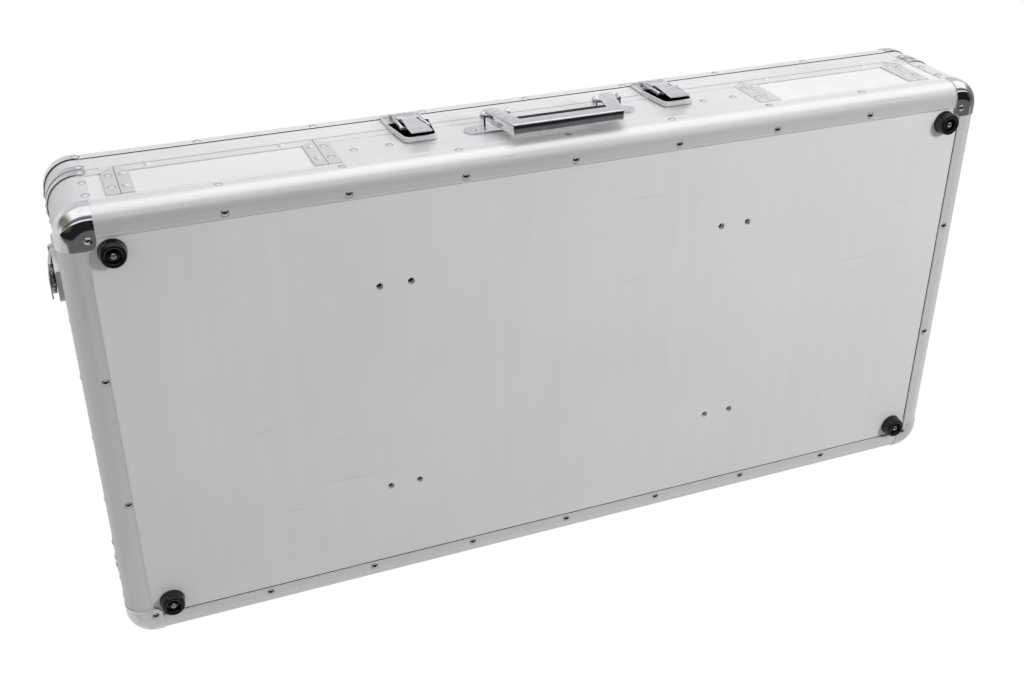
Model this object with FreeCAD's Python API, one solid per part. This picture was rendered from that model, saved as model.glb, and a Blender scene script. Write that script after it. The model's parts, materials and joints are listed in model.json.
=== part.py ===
import FreeCAD, Part
import math
import os

# Flight case for DJ equipment: a shallow base and a hinged lid, both of plywood faced with
# aluminium laminate and bound with aluminium extrusions. It stands on its four rubber feet.
# X runs along the case, Y from the front (handle, latches) to the back (hinges), Z up.

V = FreeCAD.Vector

# Outer size of the case, measured over the extrusions
CASE_L = 1100.0
CASE_D = 540.0
BASE_H = 110.0
LID_H = 63.0
FOOT_H = 12.0
SEAM_GAP = 0.3

# Panels and extrusions
PANEL_T = 7.0
SHEET_T = 1.5
EDGE_R = 20.0
EDGE_LEG = 29.0
CORNER_R = 32.0
POST_REACH = 41.0
RIM_H = 14.0
RIB_COUNT = 5
RIB_GROOVE = 1.2
RIB_DEPTH = 0.5
LIP_H = 6.0
LIP_RISE = 12.0
LIP_T = 1.5
LIP_GAP = 0.3

# Corner caps and braces
CAP_T = 1.2
CAP_REACH_X = 38.0
CAP_REACH_Y = 41.0
CAP_LAP = 3.0
CAP_ROUND = 10.0
CAP_RISE = 28.0
BRACE_REACH = 46.0
BRACE_H = 13.0

# Rivets and screw heads
RIVET_R = 4.1
RIVET_H = 2.2
RIVET_COUNT_X = 7
RIVET_COUNT_Y = 2
RIVET_END_X = 164.2
RIVET_END_Y = 191.0
RIVET_INSET = 22.5
CAP_RIVET_X = 30.0
CAP_RIVET_Y = 30.0
POST_RIVET_INSET = 36.5
SCREW_R = 2.6
SCREW_H = 1.4

# Removable hatches in the front wall
HATCH_END = 70.0
HATCH_W = 212.0
HATCH_SILL = 36.0
HATCH_GAP = 0.5
HATCH_STOP_T = 1.5
HATCH_STOP_LAP = 7.0
PLATE_T = 1.0

# Rubber feet
FOOT_END_X = 51.0
FOOT_END_Y = 46.0
FOOT_R = 15.0
FOOT_TIP_R = 12.5
FOOT_WELL_R = 8.0
FOOT_WELL_H = 4.0
WASHER_R = 7.0
WASHER_T = 1.0
FOOT_SCREW_R = 2.0
FOOT_SCREW_HEAD_R = 4.0
FOOT_SCREW_HEAD_H = 2.2
SCREW_BITE = 5.0
SCREW_GAP = 0.1

# Bolt holes through the bottom panel
BOLT_X = 212.0
BOLT_SPAN_X = 36.0
BOLT_SPAN_Y = 268.0
BOLT_R = 4.0
FOAM_HOLE_R = 9.0

# Foam lining
FOAM_FLOOR_T = 10.0
FOAM_WALL_T = 8.0
FOAM_INSET = 0.5

# Carrying handle, hanging against the front
HANDLE_PIVOT_Z = 71.0
HANDLE_PIVOT_OUT = 15.0
HANDLE_BOTTOM = 18.0
HANDLE_TOP = 80.0
HANDLE_HALF_BOTTOM = 67.0
HANDLE_HALF_TOP = 81.0
HANDLE_ARM = 19.0
HANDLE_GRIP_H = 18.0
HANDLE_BACK = 7.5
HANDLE_FRONT = 21.0
HANDLE_WALL = 2.0
HANDLE_EDGE_R = 1.6
HANDLE_TIP_R = 6.0
LINER_H = 8.0
LINER_INSET = 1.0
LUG_T = 2.4
LUG_R = 6.0
LUG_FLARE = 2.0
LUG_GAP = 0.8
LUG_PLATE_T = 1.5
LUG_PLATE_H = 22.0
LUG_TAB = 20.0
HANDLE_PIN_R = 2.5
PIN_HEAD_R = 4.0
PIN_HEAD_H = 2.6
RUN_GAP = 0.05

# Latches, centred on the seam
LATCH_X = 158.0
LATCH_END_Y = 103.0
LATCH_W = 47.0
LATCH_FOOT_W = 38.0
LATCH_DOWN = 49.0
LATCH_UP = 34.0
LATCH_SHOULDER = 9.0
LATCH_CHAMFER = 3.0
LATCH_RIM = 2.2
LATCH_RIM_H = 6.0
LATCH_FLOOR = 1.2
LATCH_GAP = 0.3
LATCH_SCREW_DOWN = 15.0
KEEPER_RIM_H = 3.5
KEEPER_SCREW_UP = 11.0
HOOK_W = 18.0
HOOK_OUT = 4.2
HOOK_H = 9.0
KEEPER_DOME_W = 30.0
KEEPER_DOME_H = 8.0
KEEPER_DOME_OUT = 8.5
KEEPER_GAP = 2.0
LEVER_PIVOT_DOWN = 6.0
LEVER_PIVOT_OUT = 6.3
LEVER_PIN_R = 1.25
LEVER_TOP_W = 17.0
LEVER_W = 24.5
LEVER_PLATE_OUT = 3.3
LEVER_FLARE = 1.6
LEVER_PLATE_T = 1.5
LEVER_LENGTH = 37.5
LEVER_LIP = 12.0
LEVER_EAR_OUT = 8.4
LEVER_EAR_T = 1.5
LEVER_TOP_UP = 3.5
LEVER_PIN_WALL = 1.35
DISH_EAR_T = 1.6
DISH_EAR_R = 2.4
BAIL_DROP = 19.0
BAIL_HALF_LOW = 17.2
BAIL_HALF_TOP = 13.7
BAIL_ARM_W = 3.2
BAIL_ARM_T = 3.4
BAIL_LENGTH = 44.0
BAIL_FOOT = 2.7
BAIL_HOOK_OUT = 2.2
BAIL_PLATE_T = 1.3
BAIL_PLATE_GAP = 2.0

# Hinges on the back
HINGE_END = 170.0
HINGE_W = 64.0
HINGE_MIDDLE_W = 22.0
HINGE_LEAF_H = 30.0
HINGE_LEAF_T = 2.0
HINGE_OUT = 5.0
HINGE_KNUCKLE_R = 4.6
HINGE_PIN_R = 2.0
HINGE_END_GAP = 0.3

# Heights and offsets worked out from the sizes above
BASE_Z = FOOT_H
SEAM_Z = BASE_Z + BASE_H
LID_Z = SEAM_Z + SEAM_GAP
TOP_Z = LID_Z + LID_H
HINGE_Z = (SEAM_Z + LID_Z) / 2
WALL_IN = SHEET_T + PANEL_T
BAND_TOP = TOP_Z - EDGE_LEG
HALF_L = CASE_L / 2
HALF_D = CASE_D / 2
HATCH_OUT = HALF_L - HATCH_END
HATCH_IN = HATCH_OUT - HATCH_W
FOOT_X = HALF_L - FOOT_END_X
FOOT_Y = HALF_D - FOOT_END_Y
LATCH_Y = HALF_D - LATCH_END_Y
HINGE_X = HALF_L - HINGE_END
PANEL_Z = BASE_Z + SHEET_T
FRONT_REACH = HANDLE_PIVOT_OUT + LUG_R
BACK_REACH = HINGE_OUT + HINGE_KNUCKLE_R
FRAME_SHIFT = V(0, (FRONT_REACH - BACK_REACH) / 2, 0)

SIDE_TURN = {"front": 0, "back": 180, "left": -90, "right": 90}
SIDE_PLACE = {
    "front": V(0, -HALF_D, 0),
    "back": V(0, HALF_D, 0),
    "left": V(-HALF_L, 0, 0),
    "right": V(HALF_L, 0, 0),
}
SIDE_HALF = {"front": HALF_L, "back": HALF_L, "left": HALF_D, "right": HALF_D}
SIDE_CAP = {"front": CAP_REACH_X, "back": CAP_REACH_X, "left": CAP_REACH_Y, "right": CAP_REACH_Y}


def box(x0, x1, y0, y1, z0, z1):
    return Part.makeBox(x1 - x0, y1 - y0, z1 - z0, V(x0, y0, z0))


def arc(centre, radius, start_deg, end_deg):
    """Arc step for a path: its middle point and its end point."""
    def point(angle):
        turn = math.radians(angle)
        return (centre[0] + radius * math.cos(turn), centre[1] + radius * math.sin(turn))
    return (point((start_deg + end_deg) / 2), point(end_deg))


def flat_face(path, at):
    """Face inside a closed path of points and arc steps; at() puts a flat point in space."""
    start = at(path[0])
    here = start
    edges = []
    for step in path[1:] + [path[0]]:
        if isinstance(step[0], tuple):
            end = at(step[1])
            edges.append(Part.Arc(here, at(step[0]), end).toShape())
            here = end
        elif (at(step) - here).Length > 1e-6:
            end = at(step)
            edges.append(Part.LineSegment(here, end).toShape())
            here = end
    return Part.Face(Part.Wire(edges))


def prism_x(path, x0, x1):
    """Solid along X from a path of (y, z) points."""
    return flat_face(path, lambda p: V(x0, p[0], p[1])).extrude(V(x1 - x0, 0, 0))


def prism_y(path, y0, y1):
    """Solid along Y from a path of (x, z) points."""
    return flat_face(path, lambda p: V(p[0], y0, p[1])).extrude(V(0, y1 - y0, 0))


def prism_z(path, z0, z1):
    """Solid along Z from a path of (x, y) points."""
    return flat_face(path, lambda p: V(p[0], p[1], z0)).extrude(V(0, 0, z1 - z0))


def rod_x(radius, x0, x1, y, z):
    return Part.makeCylinder(radius, x1 - x0, V(x0, y, z), V(1, 0, 0))


def rod_z(radius, x, y, z0, z1):
    return Part.makeCylinder(radius, z1 - z0, V(x, y, z0))


def fused(shapes):
    return shapes[0].multiFuse(shapes[1:]).removeSplitter()


def cut_by(shape, tools):
    return shape.cut(Part.makeCompound(tools))


def group(shapes):
    return Part.makeCompound(shapes)


def moved(shape, x, y, z):
    copy = shape.copy()
    copy.translate(V(x, y, z))
    return copy


def on_side(shape, side):
    """Takes a shape drawn for the front, Y inward from the outer face, to one of the sides."""
    copy = shape.copy()
    copy.rotate(V(0, 0, 0), V(0, 0, 1), SIDE_TURN[side])
    copy.translate(SIDE_PLACE[side])
    return copy


def mirrored(shape, normal):
    return shape.mirror(V(0, 0, 0), normal)


def left_and_right(shape):
    return [shape, mirrored(shape, V(1, 0, 0))]


def four_corners(shape):
    """Copies of a piece at the right back corner to all four corners."""
    right = [shape, mirrored(shape, V(0, 1, 0))]
    return right + [mirrored(s, V(1, 0, 0)) for s in right]


def for_lid(shape):
    """Turns a piece drawn at the bottom of the base into its twin at the top of the lid."""
    return moved(mirrored(shape, V(0, 0, 1)), 0, 0, BASE_Z + TOP_Z)


def dome(radius, height):
    """Round head on the plane Z = 0, rising along +Z."""
    ball_r = (radius ** 2 + height ** 2) / (2 * height)
    ball = Part.makeSphere(ball_r, V(0, 0, height - ball_r))
    return ball.common(box(-radius, radius, -radius, radius, 0, height))


def head_out(head, x, z, out=0.0):
    """A head on a wall drawn for the front: it points outward, along -Y."""
    copy = head.copy()
    copy.rotate(V(0, 0, 0), V(1, 0, 0), 90)
    copy.translate(V(x, -out, z))
    return copy


def head_down(head, x, y, z):
    copy = head.copy()
    copy.rotate(V(0, 0, 0), V(1, 0, 0), 180)
    copy.translate(V(x, y, z))
    return copy


RIVET = dome(RIVET_R, RIVET_H)
SCREW = dome(SCREW_R, SCREW_H)


# Walls and panels

def rounded_plate(half_x, half_y, radius, z0, z1):
    path = [
        (half_x - radius, -half_y),
        arc((half_x - radius, -half_y + radius), radius, -90, 0),
        (half_x, half_y - radius),
        arc((half_x - radius, half_y - radius), radius, 0, 90),
        (-half_x + radius, half_y),
        arc((-half_x + radius, half_y - radius), radius, 90, 180),
        (-half_x, -half_y + radius),
        arc((-half_x + radius, -half_y + radius), radius, 180, 270),
    ]
    return prism_z(path, z0, z1)


def bolt_holes(radius, z0, z1):
    xs = [side * BOLT_X + half * BOLT_SPAN_X / 2 for side in (-1, 1) for half in (-1, 1)]
    return [rod_z(radius, x, y, z0, z1) for x in xs for y in (-BOLT_SPAN_Y / 2, BOLT_SPAN_Y / 2)]


def foot_places():
    return [(sx * FOOT_X, sy * FOOT_Y) for sx in (-1, 1) for sy in (-1, 1)]


def cover_panel():
    """Large panel between the edge extrusions, drawn at the bottom of the base."""
    return rounded_plate(HALF_L - EDGE_R, HALF_D - EDGE_R, CORNER_R - EDGE_R, PANEL_Z, PANEL_Z + PANEL_T)


def bottom_panel():
    holes = bolt_holes(BOLT_R, PANEL_Z, PANEL_Z + PANEL_T)
    for x, y in foot_places():
        holes.append(rod_z(FOOT_SCREW_R, x, y, PANEL_Z, PANEL_Z + SCREW_BITE))
    return cut_by(cover_panel(), holes)


def wall(side, z0, z1):
    """Plywood wall of one side, between the corner posts."""
    half = SIDE_HALF[side] - CORNER_R
    return box(-half, half, SHEET_T, WALL_IN, z0, z1)


def base_wall(side):
    return on_side(wall(side, BASE_Z + EDGE_R, SEAM_Z - SHEET_T), side)


def hatch_span(grow):
    """X range of the right hatch opening, made wider by grow at each end."""
    return HATCH_IN - grow, HATCH_OUT + grow


def front_wall():
    x0, x1 = hatch_span(0)
    notch = box(x0, x1, 0, WALL_IN + 1, BASE_Z + HATCH_SILL, SEAM_Z)
    body = cut_by(wall("front", BASE_Z + EDGE_R, SEAM_Z - SHEET_T), left_and_right(notch))
    return on_side(body, "front")


def lid_wall(side):
    return on_side(wall(side, LID_Z + SHEET_T, TOP_Z - EDGE_R), side)


# Edge extrusions and corners

def edge_extrusion(side):
    """Rounded edge extrusion at the bottom of one side, with a ledge for wall and panel."""
    t, r, leg, deep = SHEET_T, EDGE_R, EDGE_LEG, WALL_IN
    path = [
        (0, leg),
        (0, r),
        arc((r, r), r, 180, 270),
        (leg, 0),
        (leg, t),
        (r, t),
        (r, deep),
        (deep, deep),
        (deep, r),
        (t, r),
        (t, leg),
    ]
    half = SIDE_HALF[side] - SIDE_CAP[side] + CAP_LAP
    profile = [raised(step, BASE_Z) for step in path]
    return on_side(prism_x(profile, -half, half), side)


def raised(step, dz):
    """Lifts one step of a path by dz in its second coordinate."""
    if isinstance(step[0], tuple):
        return (raised(step[0], dz), raised(step[1], dz))
    return (step[0], step[1] + dz)


def corner_strip(inner, outer, reach, z0, z1):
    """Upright strip round the right back corner, between two offsets from the outer faces."""
    cx, cy = HALF_L - CORNER_R, HALF_D - CORNER_R
    path = [
        (HALF_L - reach, HALF_D + inner),
        (HALF_L - reach, HALF_D + outer),
        (cx, HALF_D + outer),
        arc((cx, cy), CORNER_R + outer, 90, 0),
        (HALF_L + outer, HALF_D - reach),
        (HALF_L + inner, HALF_D - reach),
        (HALF_L + inner, cy),
        arc((cx, cy), CORNER_R + inner, 0, 90),
    ]
    return prism_z(path, z0, z1)


def corner_post(core_z0, core_z1, flange_z0, flange_z1):
    core = corner_strip(-WALL_IN, 0, CORNER_R, core_z0, core_z1)
    flange = corner_strip(-SHEET_T, 0, POST_REACH, flange_z0, flange_z1)
    return fused([core, flange])


def base_posts():
    return group(four_corners(corner_post(BASE_Z + EDGE_R, SEAM_Z, BASE_Z + EDGE_LEG, SEAM_Z)))


def lid_posts():
    return group(four_corners(corner_post(LID_Z, TOP_Z - EDGE_R, LID_Z, BAND_TOP)))


def rounded_block(grow):
    """Lower part of the case as a block with rounded edges, grown outward."""
    half_x, half_y = HALF_L + grow, HALF_D + grow
    block = rounded_plate(half_x, half_y, CORNER_R + grow, BASE_Z - grow, SEAM_Z)
    low = [e for e in block.Edges if e.BoundBox.ZMax < BASE_Z - grow + 0.01]
    return block.makeFillet(EDGE_R + grow, low)


def corner_cap():
    """Pressed cap over the right back bottom corner."""
    x0, y0 = HALF_L - CAP_REACH_X, HALF_D - CAP_REACH_Y
    far_x, far_y = HALF_L + 2 * CAP_T, HALF_D + 2 * CAP_T
    zone_path = [
        (x0 + CAP_ROUND, y0),
        (far_x, y0),
        (far_x, far_y),
        (x0, far_y),
        (x0, y0 + CAP_ROUND),
        arc((x0 + CAP_ROUND, y0 + CAP_ROUND), CAP_ROUND, 180, 270),
    ]
    zone = prism_z(zone_path, BASE_Z - 2 * CAP_T, BASE_Z + CAP_RISE)
    return rounded_block(CAP_T).common(zone).cut(rounded_block(0))


def base_braces():
    return group(four_corners(corner_strip(0, CAP_T, BRACE_REACH, SEAM_Z - BRACE_H, SEAM_Z - SHEET_T)))


def lid_braces():
    return group(four_corners(corner_strip(0, CAP_T, BRACE_REACH, LID_Z + SHEET_T, LID_Z + BRACE_H)))


# Rim of the base and band of the lid

def rim_web(x0, x1, gap=0.0):
    """Flat top of the rim over the plywood."""
    return box(x0, x1, SHEET_T, WALL_IN - gap, SEAM_Z - SHEET_T, SEAM_Z)


def rim_run(x0, x1, mitre0, mitre1):
    """One rim length; a mitred end is cut back at 45 degrees towards the bottom."""
    low = SEAM_Z - RIM_H
    path = [(x0, SEAM_Z), (x1, SEAM_Z), (x1 - mitre1, low), (x0 + mitre0, low)]
    return fused([prism_y(path, 0, SHEET_T), rim_web(x0, x1)])


def plain_rim(side):
    half = SIDE_HALF[side] - POST_REACH
    return on_side(rim_run(-half, half, 0, 0), side)


def front_rim():
    x0, x1 = hatch_span(0)
    end = HALF_L - POST_REACH
    runs = [rim_run(-x0, x0, RIM_H, RIM_H)] + left_and_right(rim_run(x1, end, RIM_H, 0))
    return on_side(group(runs), "front")


def jamb_strips():
    """Upright frame strips on the wall beside the hatches, mitred into the rim."""
    low, high = BASE_Z + HATCH_SILL, SEAM_Z
    x0, x1 = hatch_span(0)
    inner = [(x0 - RIM_H, low), (x0, low), (x0, high), (x0 - RIM_H, high - RIM_H)]
    outer = [(x1, low), (x1 + RIM_H, low), (x1 + RIM_H, high - RIM_H), (x1, high)]
    strips = left_and_right(prism_y(inner, 0, SHEET_T)) + left_and_right(prism_y(outer, 0, SHEET_T))
    return [on_side(strip, "front") for strip in strips]


def hatch_stops():
    """Thin frame behind each hatch opening that the hatch closes against."""
    x0, x1 = hatch_span(0)
    high = SEAM_Z - LIP_H - 2 * LIP_GAP
    low = BASE_Z + HATCH_SILL
    lap, y0, y1 = HATCH_STOP_LAP, WALL_IN, WALL_IN + HATCH_STOP_T
    frame = fused([
        box(x0 - lap, x0 + lap, y0, y1, low - lap, high),
        box(x1 - lap, x1 + lap, y0, y1, low - lap, high),
        box(x0 - lap, x1 + lap, y0, y1, low - lap, low + lap),
    ])
    return [on_side(piece, "front") for piece in left_and_right(frame)]


def front_plate():
    half = HATCH_IN - RIM_H - LIP_GAP
    plate = box(-half, half, SHEET_T - PLATE_T, SHEET_T, BASE_Z + EDGE_LEG, SEAM_Z - RIM_H)
    return on_side(plate, "front")


def lid_band(side):
    """Ribbed band of the lid, and the lip strip behind it that drops inside the base."""
    half = SIDE_HALF[side] - POST_REACH
    lip_in = WALL_IN + LIP_GAP
    pitch = (BAND_TOP - LID_Z) / (RIB_COUNT + 1)
    path = [(0, LID_Z)]
    for i in range(1, RIB_COUNT + 1):
        mid = LID_Z + i * pitch
        path += [(0, mid - RIB_GROOVE / 2), (RIB_DEPTH, mid), (0, mid + RIB_GROOVE / 2)]
    path += [
        (0, BAND_TOP),
        (SHEET_T, BAND_TOP),
        (SHEET_T, LID_Z + SHEET_T),
        (lip_in, LID_Z + SHEET_T),
        (lip_in, LID_Z),
    ]
    lip = box(-half, half, lip_in, lip_in + LIP_T, SEAM_Z - LIP_H, LID_Z + LIP_RISE)
    return on_side(group([prism_x(path, -half, half), lip]), side)


# Hatches

def hatch_panel():
    """Plywood panel of the right hatch, a little thinner than the wall."""
    x0, x1 = hatch_span(-HATCH_GAP)
    return box(x0, x1, SHEET_T, WALL_IN - LIP_GAP, BASE_Z + HATCH_SILL + HATCH_GAP, SEAM_Z - SHEET_T)


def hatch_frame():
    """Rim piece and side strips on the right hatch."""
    x0, x1 = hatch_span(-HATCH_GAP)
    low, high = BASE_Z + HATCH_SILL + HATCH_GAP, SEAM_Z
    shoulder = high - RIM_H
    rim = [(x0, high), (x1, high), (x1 - RIM_H, shoulder), (x0 + RIM_H, shoulder)]
    left = [(x0, low), (x0 + RIM_H, low), (x0 + RIM_H, shoulder), (x0, high)]
    right = [(x1 - RIM_H, low), (x1, low), (x1, high), (x1 - RIM_H, shoulder)]
    top = fused([prism_y(rim, 0, SHEET_T), rim_web(x0, x1, LIP_GAP)])
    return group([top, prism_y(left, 0, SHEET_T), prism_y(right, 0, SHEET_T)] + hatch_rivets())


def strip_rivet_heights():
    """Heights of the two rivets in each upright frame strip."""
    low = BASE_Z + HATCH_SILL
    span = SEAM_Z - RIM_H - low
    return [low + 0.3 * span, low + 0.85 * span]


def hatch_rivets():
    x0, x1 = hatch_span(-RIM_H / 2)
    heads = [head_out(RIVET, x, z) for x in (x0, x1) for z in strip_rivet_heights()]
    heads += [head_out(RIVET, x, SEAM_Z - RIM_H / 2) for x in (x0 + RIM_H * 2, x1 - RIM_H * 2)]
    return heads


# Rivets

def row_along(side):
    """Places of the rivets along one side's edge extrusion."""
    if side in ("front", "back"):
        count, end = RIVET_COUNT_X, RIVET_END_X
    else:
        count, end = RIVET_COUNT_Y, RIVET_END_Y
    half = SIDE_HALF[side] - end
    return [-half + 2 * half * i / (count - 1) for i in range(count)]


def edge_rivets():
    """Rivets in both legs of the bottom edge extrusions."""
    heads = []
    for side in SIDE_TURN:
        for x in row_along(side):
            heads.append(on_side(head_down(RIVET, x, RIVET_INSET, BASE_Z), side))
            heads.append(on_side(head_out(RIVET, x, BASE_Z + RIVET_INSET), side))
    return heads


def cap_rivets():
    return four_corners(head_down(RIVET, HALF_L - CAP_RIVET_X, HALF_D - CAP_RIVET_Y, BASE_Z - CAP_T))


def post_rivets(heights, out=0.0):
    """Rivets on both faces of every corner, at the post flanges."""
    heads = []
    for side in SIDE_TURN:
        edge = SIDE_HALF[side] - POST_RIVET_INSET
        heads += [on_side(head_out(RIVET, s * edge, z, out), side) for s in (-1, 1) for z in heights]
    return heads


def base_rivets():
    heads = edge_rivets() + cap_rivets()
    low = BASE_Z + EDGE_LEG
    span = SEAM_Z - BRACE_H - low
    heads += post_rivets([low + 0.2 * span, low + 0.7 * span])
    heads += post_rivets([SEAM_Z - (BRACE_H + SHEET_T) / 2], CAP_T)
    x0, x1 = hatch_span(RIM_H / 2)
    middle = [(s * x, z) for s in (-1, 1) for x in (x0, x1) for z in strip_rivet_heights()]
    heads += [on_side(head_out(RIVET, x, z), "front") for x, z in middle]
    plate_x = [s * x for s in (-1, 1) for x in (LATCH_X + LATCH_W * 0.75, LATCH_X + LATCH_W * 1.6)]
    plate_out = PLATE_T - SHEET_T
    plate_z = SEAM_Z - RIM_H - 2 * RIVET_INSET + RIM_H
    heads += [on_side(head_out(RIVET, x, plate_z, plate_out), "front") for x in plate_x]
    return heads


def lid_rivets():
    heads = [for_lid(head) for head in edge_rivets() + cap_rivets()]
    heads += post_rivets([BAND_TOP + RIVET_R], CAP_T)
    heads += post_rivets([LID_Z + (BRACE_H + SHEET_T) / 2], CAP_T)
    return heads


# Feet

def rubber_foot(x, y):
    body = Part.makeCone(FOOT_TIP_R, FOOT_R, PANEL_Z, V(x, y, 0))
    well = rod_z(FOOT_WELL_R, x, y, 0, FOOT_WELL_H)
    hole = rod_z(FOOT_SCREW_R + SCREW_GAP, x, y, 0, PANEL_Z)
    return cut_by(body, [well, hole])


def foot_washer(x, y):
    disc = rod_z(WASHER_R, x, y, FOOT_WELL_H - WASHER_T, FOOT_WELL_H)
    return disc.cut(rod_z(FOOT_SCREW_R + SCREW_GAP, x, y, 0, FOOT_WELL_H))


def foot_screw(x, y):
    seat = FOOT_WELL_H - WASHER_T
    head = head_down(dome(FOOT_SCREW_HEAD_R, FOOT_SCREW_HEAD_H), x, y, seat)
    return fused([head, rod_z(FOOT_SCREW_R, x, y, seat, PANEL_Z + SCREW_BITE)])


# Foam lining

def floor_foam():
    half_x, half_y = HALF_L - WALL_IN - FOAM_INSET, HALF_D - WALL_IN - FOAM_INSET
    low = PANEL_Z + PANEL_T
    pad = rounded_plate(half_x, half_y, CORNER_R - WALL_IN, low, low + FOAM_FLOOR_T)
    return cut_by(pad, bolt_holes(FOAM_HOLE_R, low, low + FOAM_FLOOR_T))


def wall_foam(side, half):
    low = PANEL_Z + PANEL_T + FOAM_FLOOR_T
    high = SEAM_Z - LIP_H - 4 * LIP_GAP
    return on_side(box(-half, half, WALL_IN, WALL_IN + FOAM_WALL_T, low, high), side)


def base_foam():
    strips = [wall_foam(side, SIDE_HALF[side] - CORNER_R) for side in ("back", "left", "right")]
    front = wall_foam("front", HATCH_IN - HATCH_STOP_LAP - 2 * FOAM_INSET)
    return group([floor_foam(), front] + strips)


def lid_foam():
    half_x, half_y = HALF_L - WALL_IN - FOAM_INSET, HALF_D - WALL_IN - FOAM_INSET
    low = PANEL_Z + PANEL_T
    return for_lid(rounded_plate(half_x, half_y, CORNER_R - WALL_IN, low, low + FOAM_FLOOR_T))


# Carrying handle, drawn for the front with its outside along -Y

def handle_half(height):
    """Half width of the handle over its arms at a height above the base."""
    share = (height - HANDLE_BOTTOM) / (HANDLE_TOP - HANDLE_BOTTOM)
    return HANDLE_HALF_BOTTOM + share * (HANDLE_HALF_TOP - HANDLE_HALF_BOTTOM)


def handle_path(inset):
    """U shape of the handle, made smaller all round by inset."""
    low = HANDLE_BOTTOM + inset
    crotch = HANDLE_BOTTOM + HANDLE_GRIP_H - inset
    top = HANDLE_TOP - inset
    outline = [(handle_half(low) - inset, low), (handle_half(top) - inset, top)]
    outline += [(handle_half(top) - HANDLE_ARM + inset, top)]
    outline += [(handle_half(crotch) - HANDLE_ARM + inset, crotch)]
    points = outline + [(-x, z) for x, z in reversed(outline)]
    return [(x, z + BASE_Z) for x, z in points]


def pivot_rod(radius, half):
    return rod_x(radius, -half, half, -HANDLE_PIVOT_OUT, BASE_Z + HANDLE_PIVOT_Z)


def handle_grip():
    shell = prism_y(handle_path(0), -HANDLE_FRONT, -HANDLE_BACK)
    face = [e for e in shell.Edges if e.BoundBox.YMax < -HANDLE_FRONT + 0.01]
    shell = shell.makeFillet(HANDLE_EDGE_R, face)
    pocket = prism_y(handle_path(HANDLE_WALL), HANDLE_WALL - HANDLE_FRONT, -HANDLE_BACK)
    bore = pivot_rod(HANDLE_PIN_R + RUN_GAP, HANDLE_HALF_TOP)
    z = BASE_Z + HANDLE_TOP - HANDLE_TIP_R
    tip = box(-HANDLE_HALF_TOP, HANDLE_HALF_TOP, -HANDLE_BACK - HANDLE_TIP_R, 0, z, z + HANDLE_TIP_R)
    keep = rod_x(HANDLE_TIP_R, -HANDLE_HALF_TOP, HANDLE_HALF_TOP, -HANDLE_BACK - HANDLE_TIP_R, z)
    body = cut_by(shell, [pocket, bore]).cut(tip.cut(keep))
    return on_side(body, "front")


def handle_liner():
    low = HANDLE_BOTTOM + HANDLE_GRIP_H
    high = low + LINER_H
    corners = ((-1, low), (1, low), (1, high), (-1, high))
    path = [(sign * (handle_half(z) - HANDLE_ARM), z + BASE_Z) for sign, z in corners]
    return on_side(prism_y(path, LINER_INSET - HANDLE_FRONT, -HANDLE_BACK - LINER_INSET), "front")


def lug_faces():
    """X of the bracket legs' faces towards the handle arm: inner leg, outer leg."""
    sweep = HANDLE_PIVOT_OUT + LUG_R / 2
    inner = handle_half(HANDLE_PIVOT_Z - sweep) - HANDLE_ARM - LUG_GAP
    return inner, HANDLE_HALF_TOP + LUG_GAP


def lug_leg(x0):
    z = BASE_Z + HANDLE_PIVOT_Z
    back = -PLATE_OUT
    path = [
        (back, z - LUG_R - LUG_FLARE),
        (-HANDLE_PIVOT_OUT, z - LUG_R),
        ((-HANDLE_PIVOT_OUT - LUG_R, z), (-HANDLE_PIVOT_OUT, z + LUG_R)),
        (back, z + LUG_R + LUG_FLARE),
    ]
    return prism_x(path, x0, x0 + LUG_T)


PLATE_OUT = LUG_PLATE_T - (SHEET_T - PLATE_T)


def handle_bracket():
    """Bracket of the right arm: plate with a leg on each side of the arm."""
    inner, outer = lug_faces()
    z = BASE_Z + HANDLE_PIVOT_Z
    y0, y1 = -PLATE_OUT, LUG_PLATE_T - PLATE_OUT
    low, high = z - LUG_PLATE_H / 2, z + LUG_PLATE_H / 2
    plate = box(inner - LUG_T - LUG_TAB / 2, outer + LUG_T + LUG_TAB / 2, y0, y1, low, high)
    bore = pivot_rod(HANDLE_PIN_R, outer + LUG_T)
    tab = Part.makeCylinder(LUG_PLATE_H / 2, LUG_PLATE_T, V(outer + LUG_T + LUG_TAB / 2, y0, z), V(0, 1, 0))
    return fused([plate, tab, lug_leg(inner - LUG_T), lug_leg(outer)]).cut(bore)


def handle_brackets():
    return on_side(group(left_and_right(handle_bracket())), "front")


def handle_pins():
    inner, outer = lug_faces()
    y, z = -HANDLE_PIVOT_OUT, BASE_Z + HANDLE_PIVOT_Z
    head = dome(PIN_HEAD_R, PIN_HEAD_H)
    out_head = head.copy()
    out_head.rotate(V(0, 0, 0), V(0, 1, 0), 90)
    in_head = head.copy()
    in_head.rotate(V(0, 0, 0), V(0, 1, 0), -90)
    pin = fused([
        rod_x(HANDLE_PIN_R, inner - LUG_T, outer + LUG_T, y, z),
        moved(out_head, outer + LUG_T, y, z),
        moved(in_head, inner - LUG_T, y, z),
    ])
    return [on_side(piece, "front") for piece in left_and_right(pin)]


def bracket_screws():
    inner, outer = lug_faces()
    z = BASE_Z + HANDLE_PIVOT_Z
    places = (outer + LUG_T + LUG_TAB / 2, inner - LUG_T - LUG_TAB / 4)
    heads = []
    for x in places:
        heads += left_and_right(head_out(SCREW, x, z, PLATE_OUT))
    return [on_side(head, "front") for head in heads]


# Latches, drawn for the front at X = 0 with their outside along -Y

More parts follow.
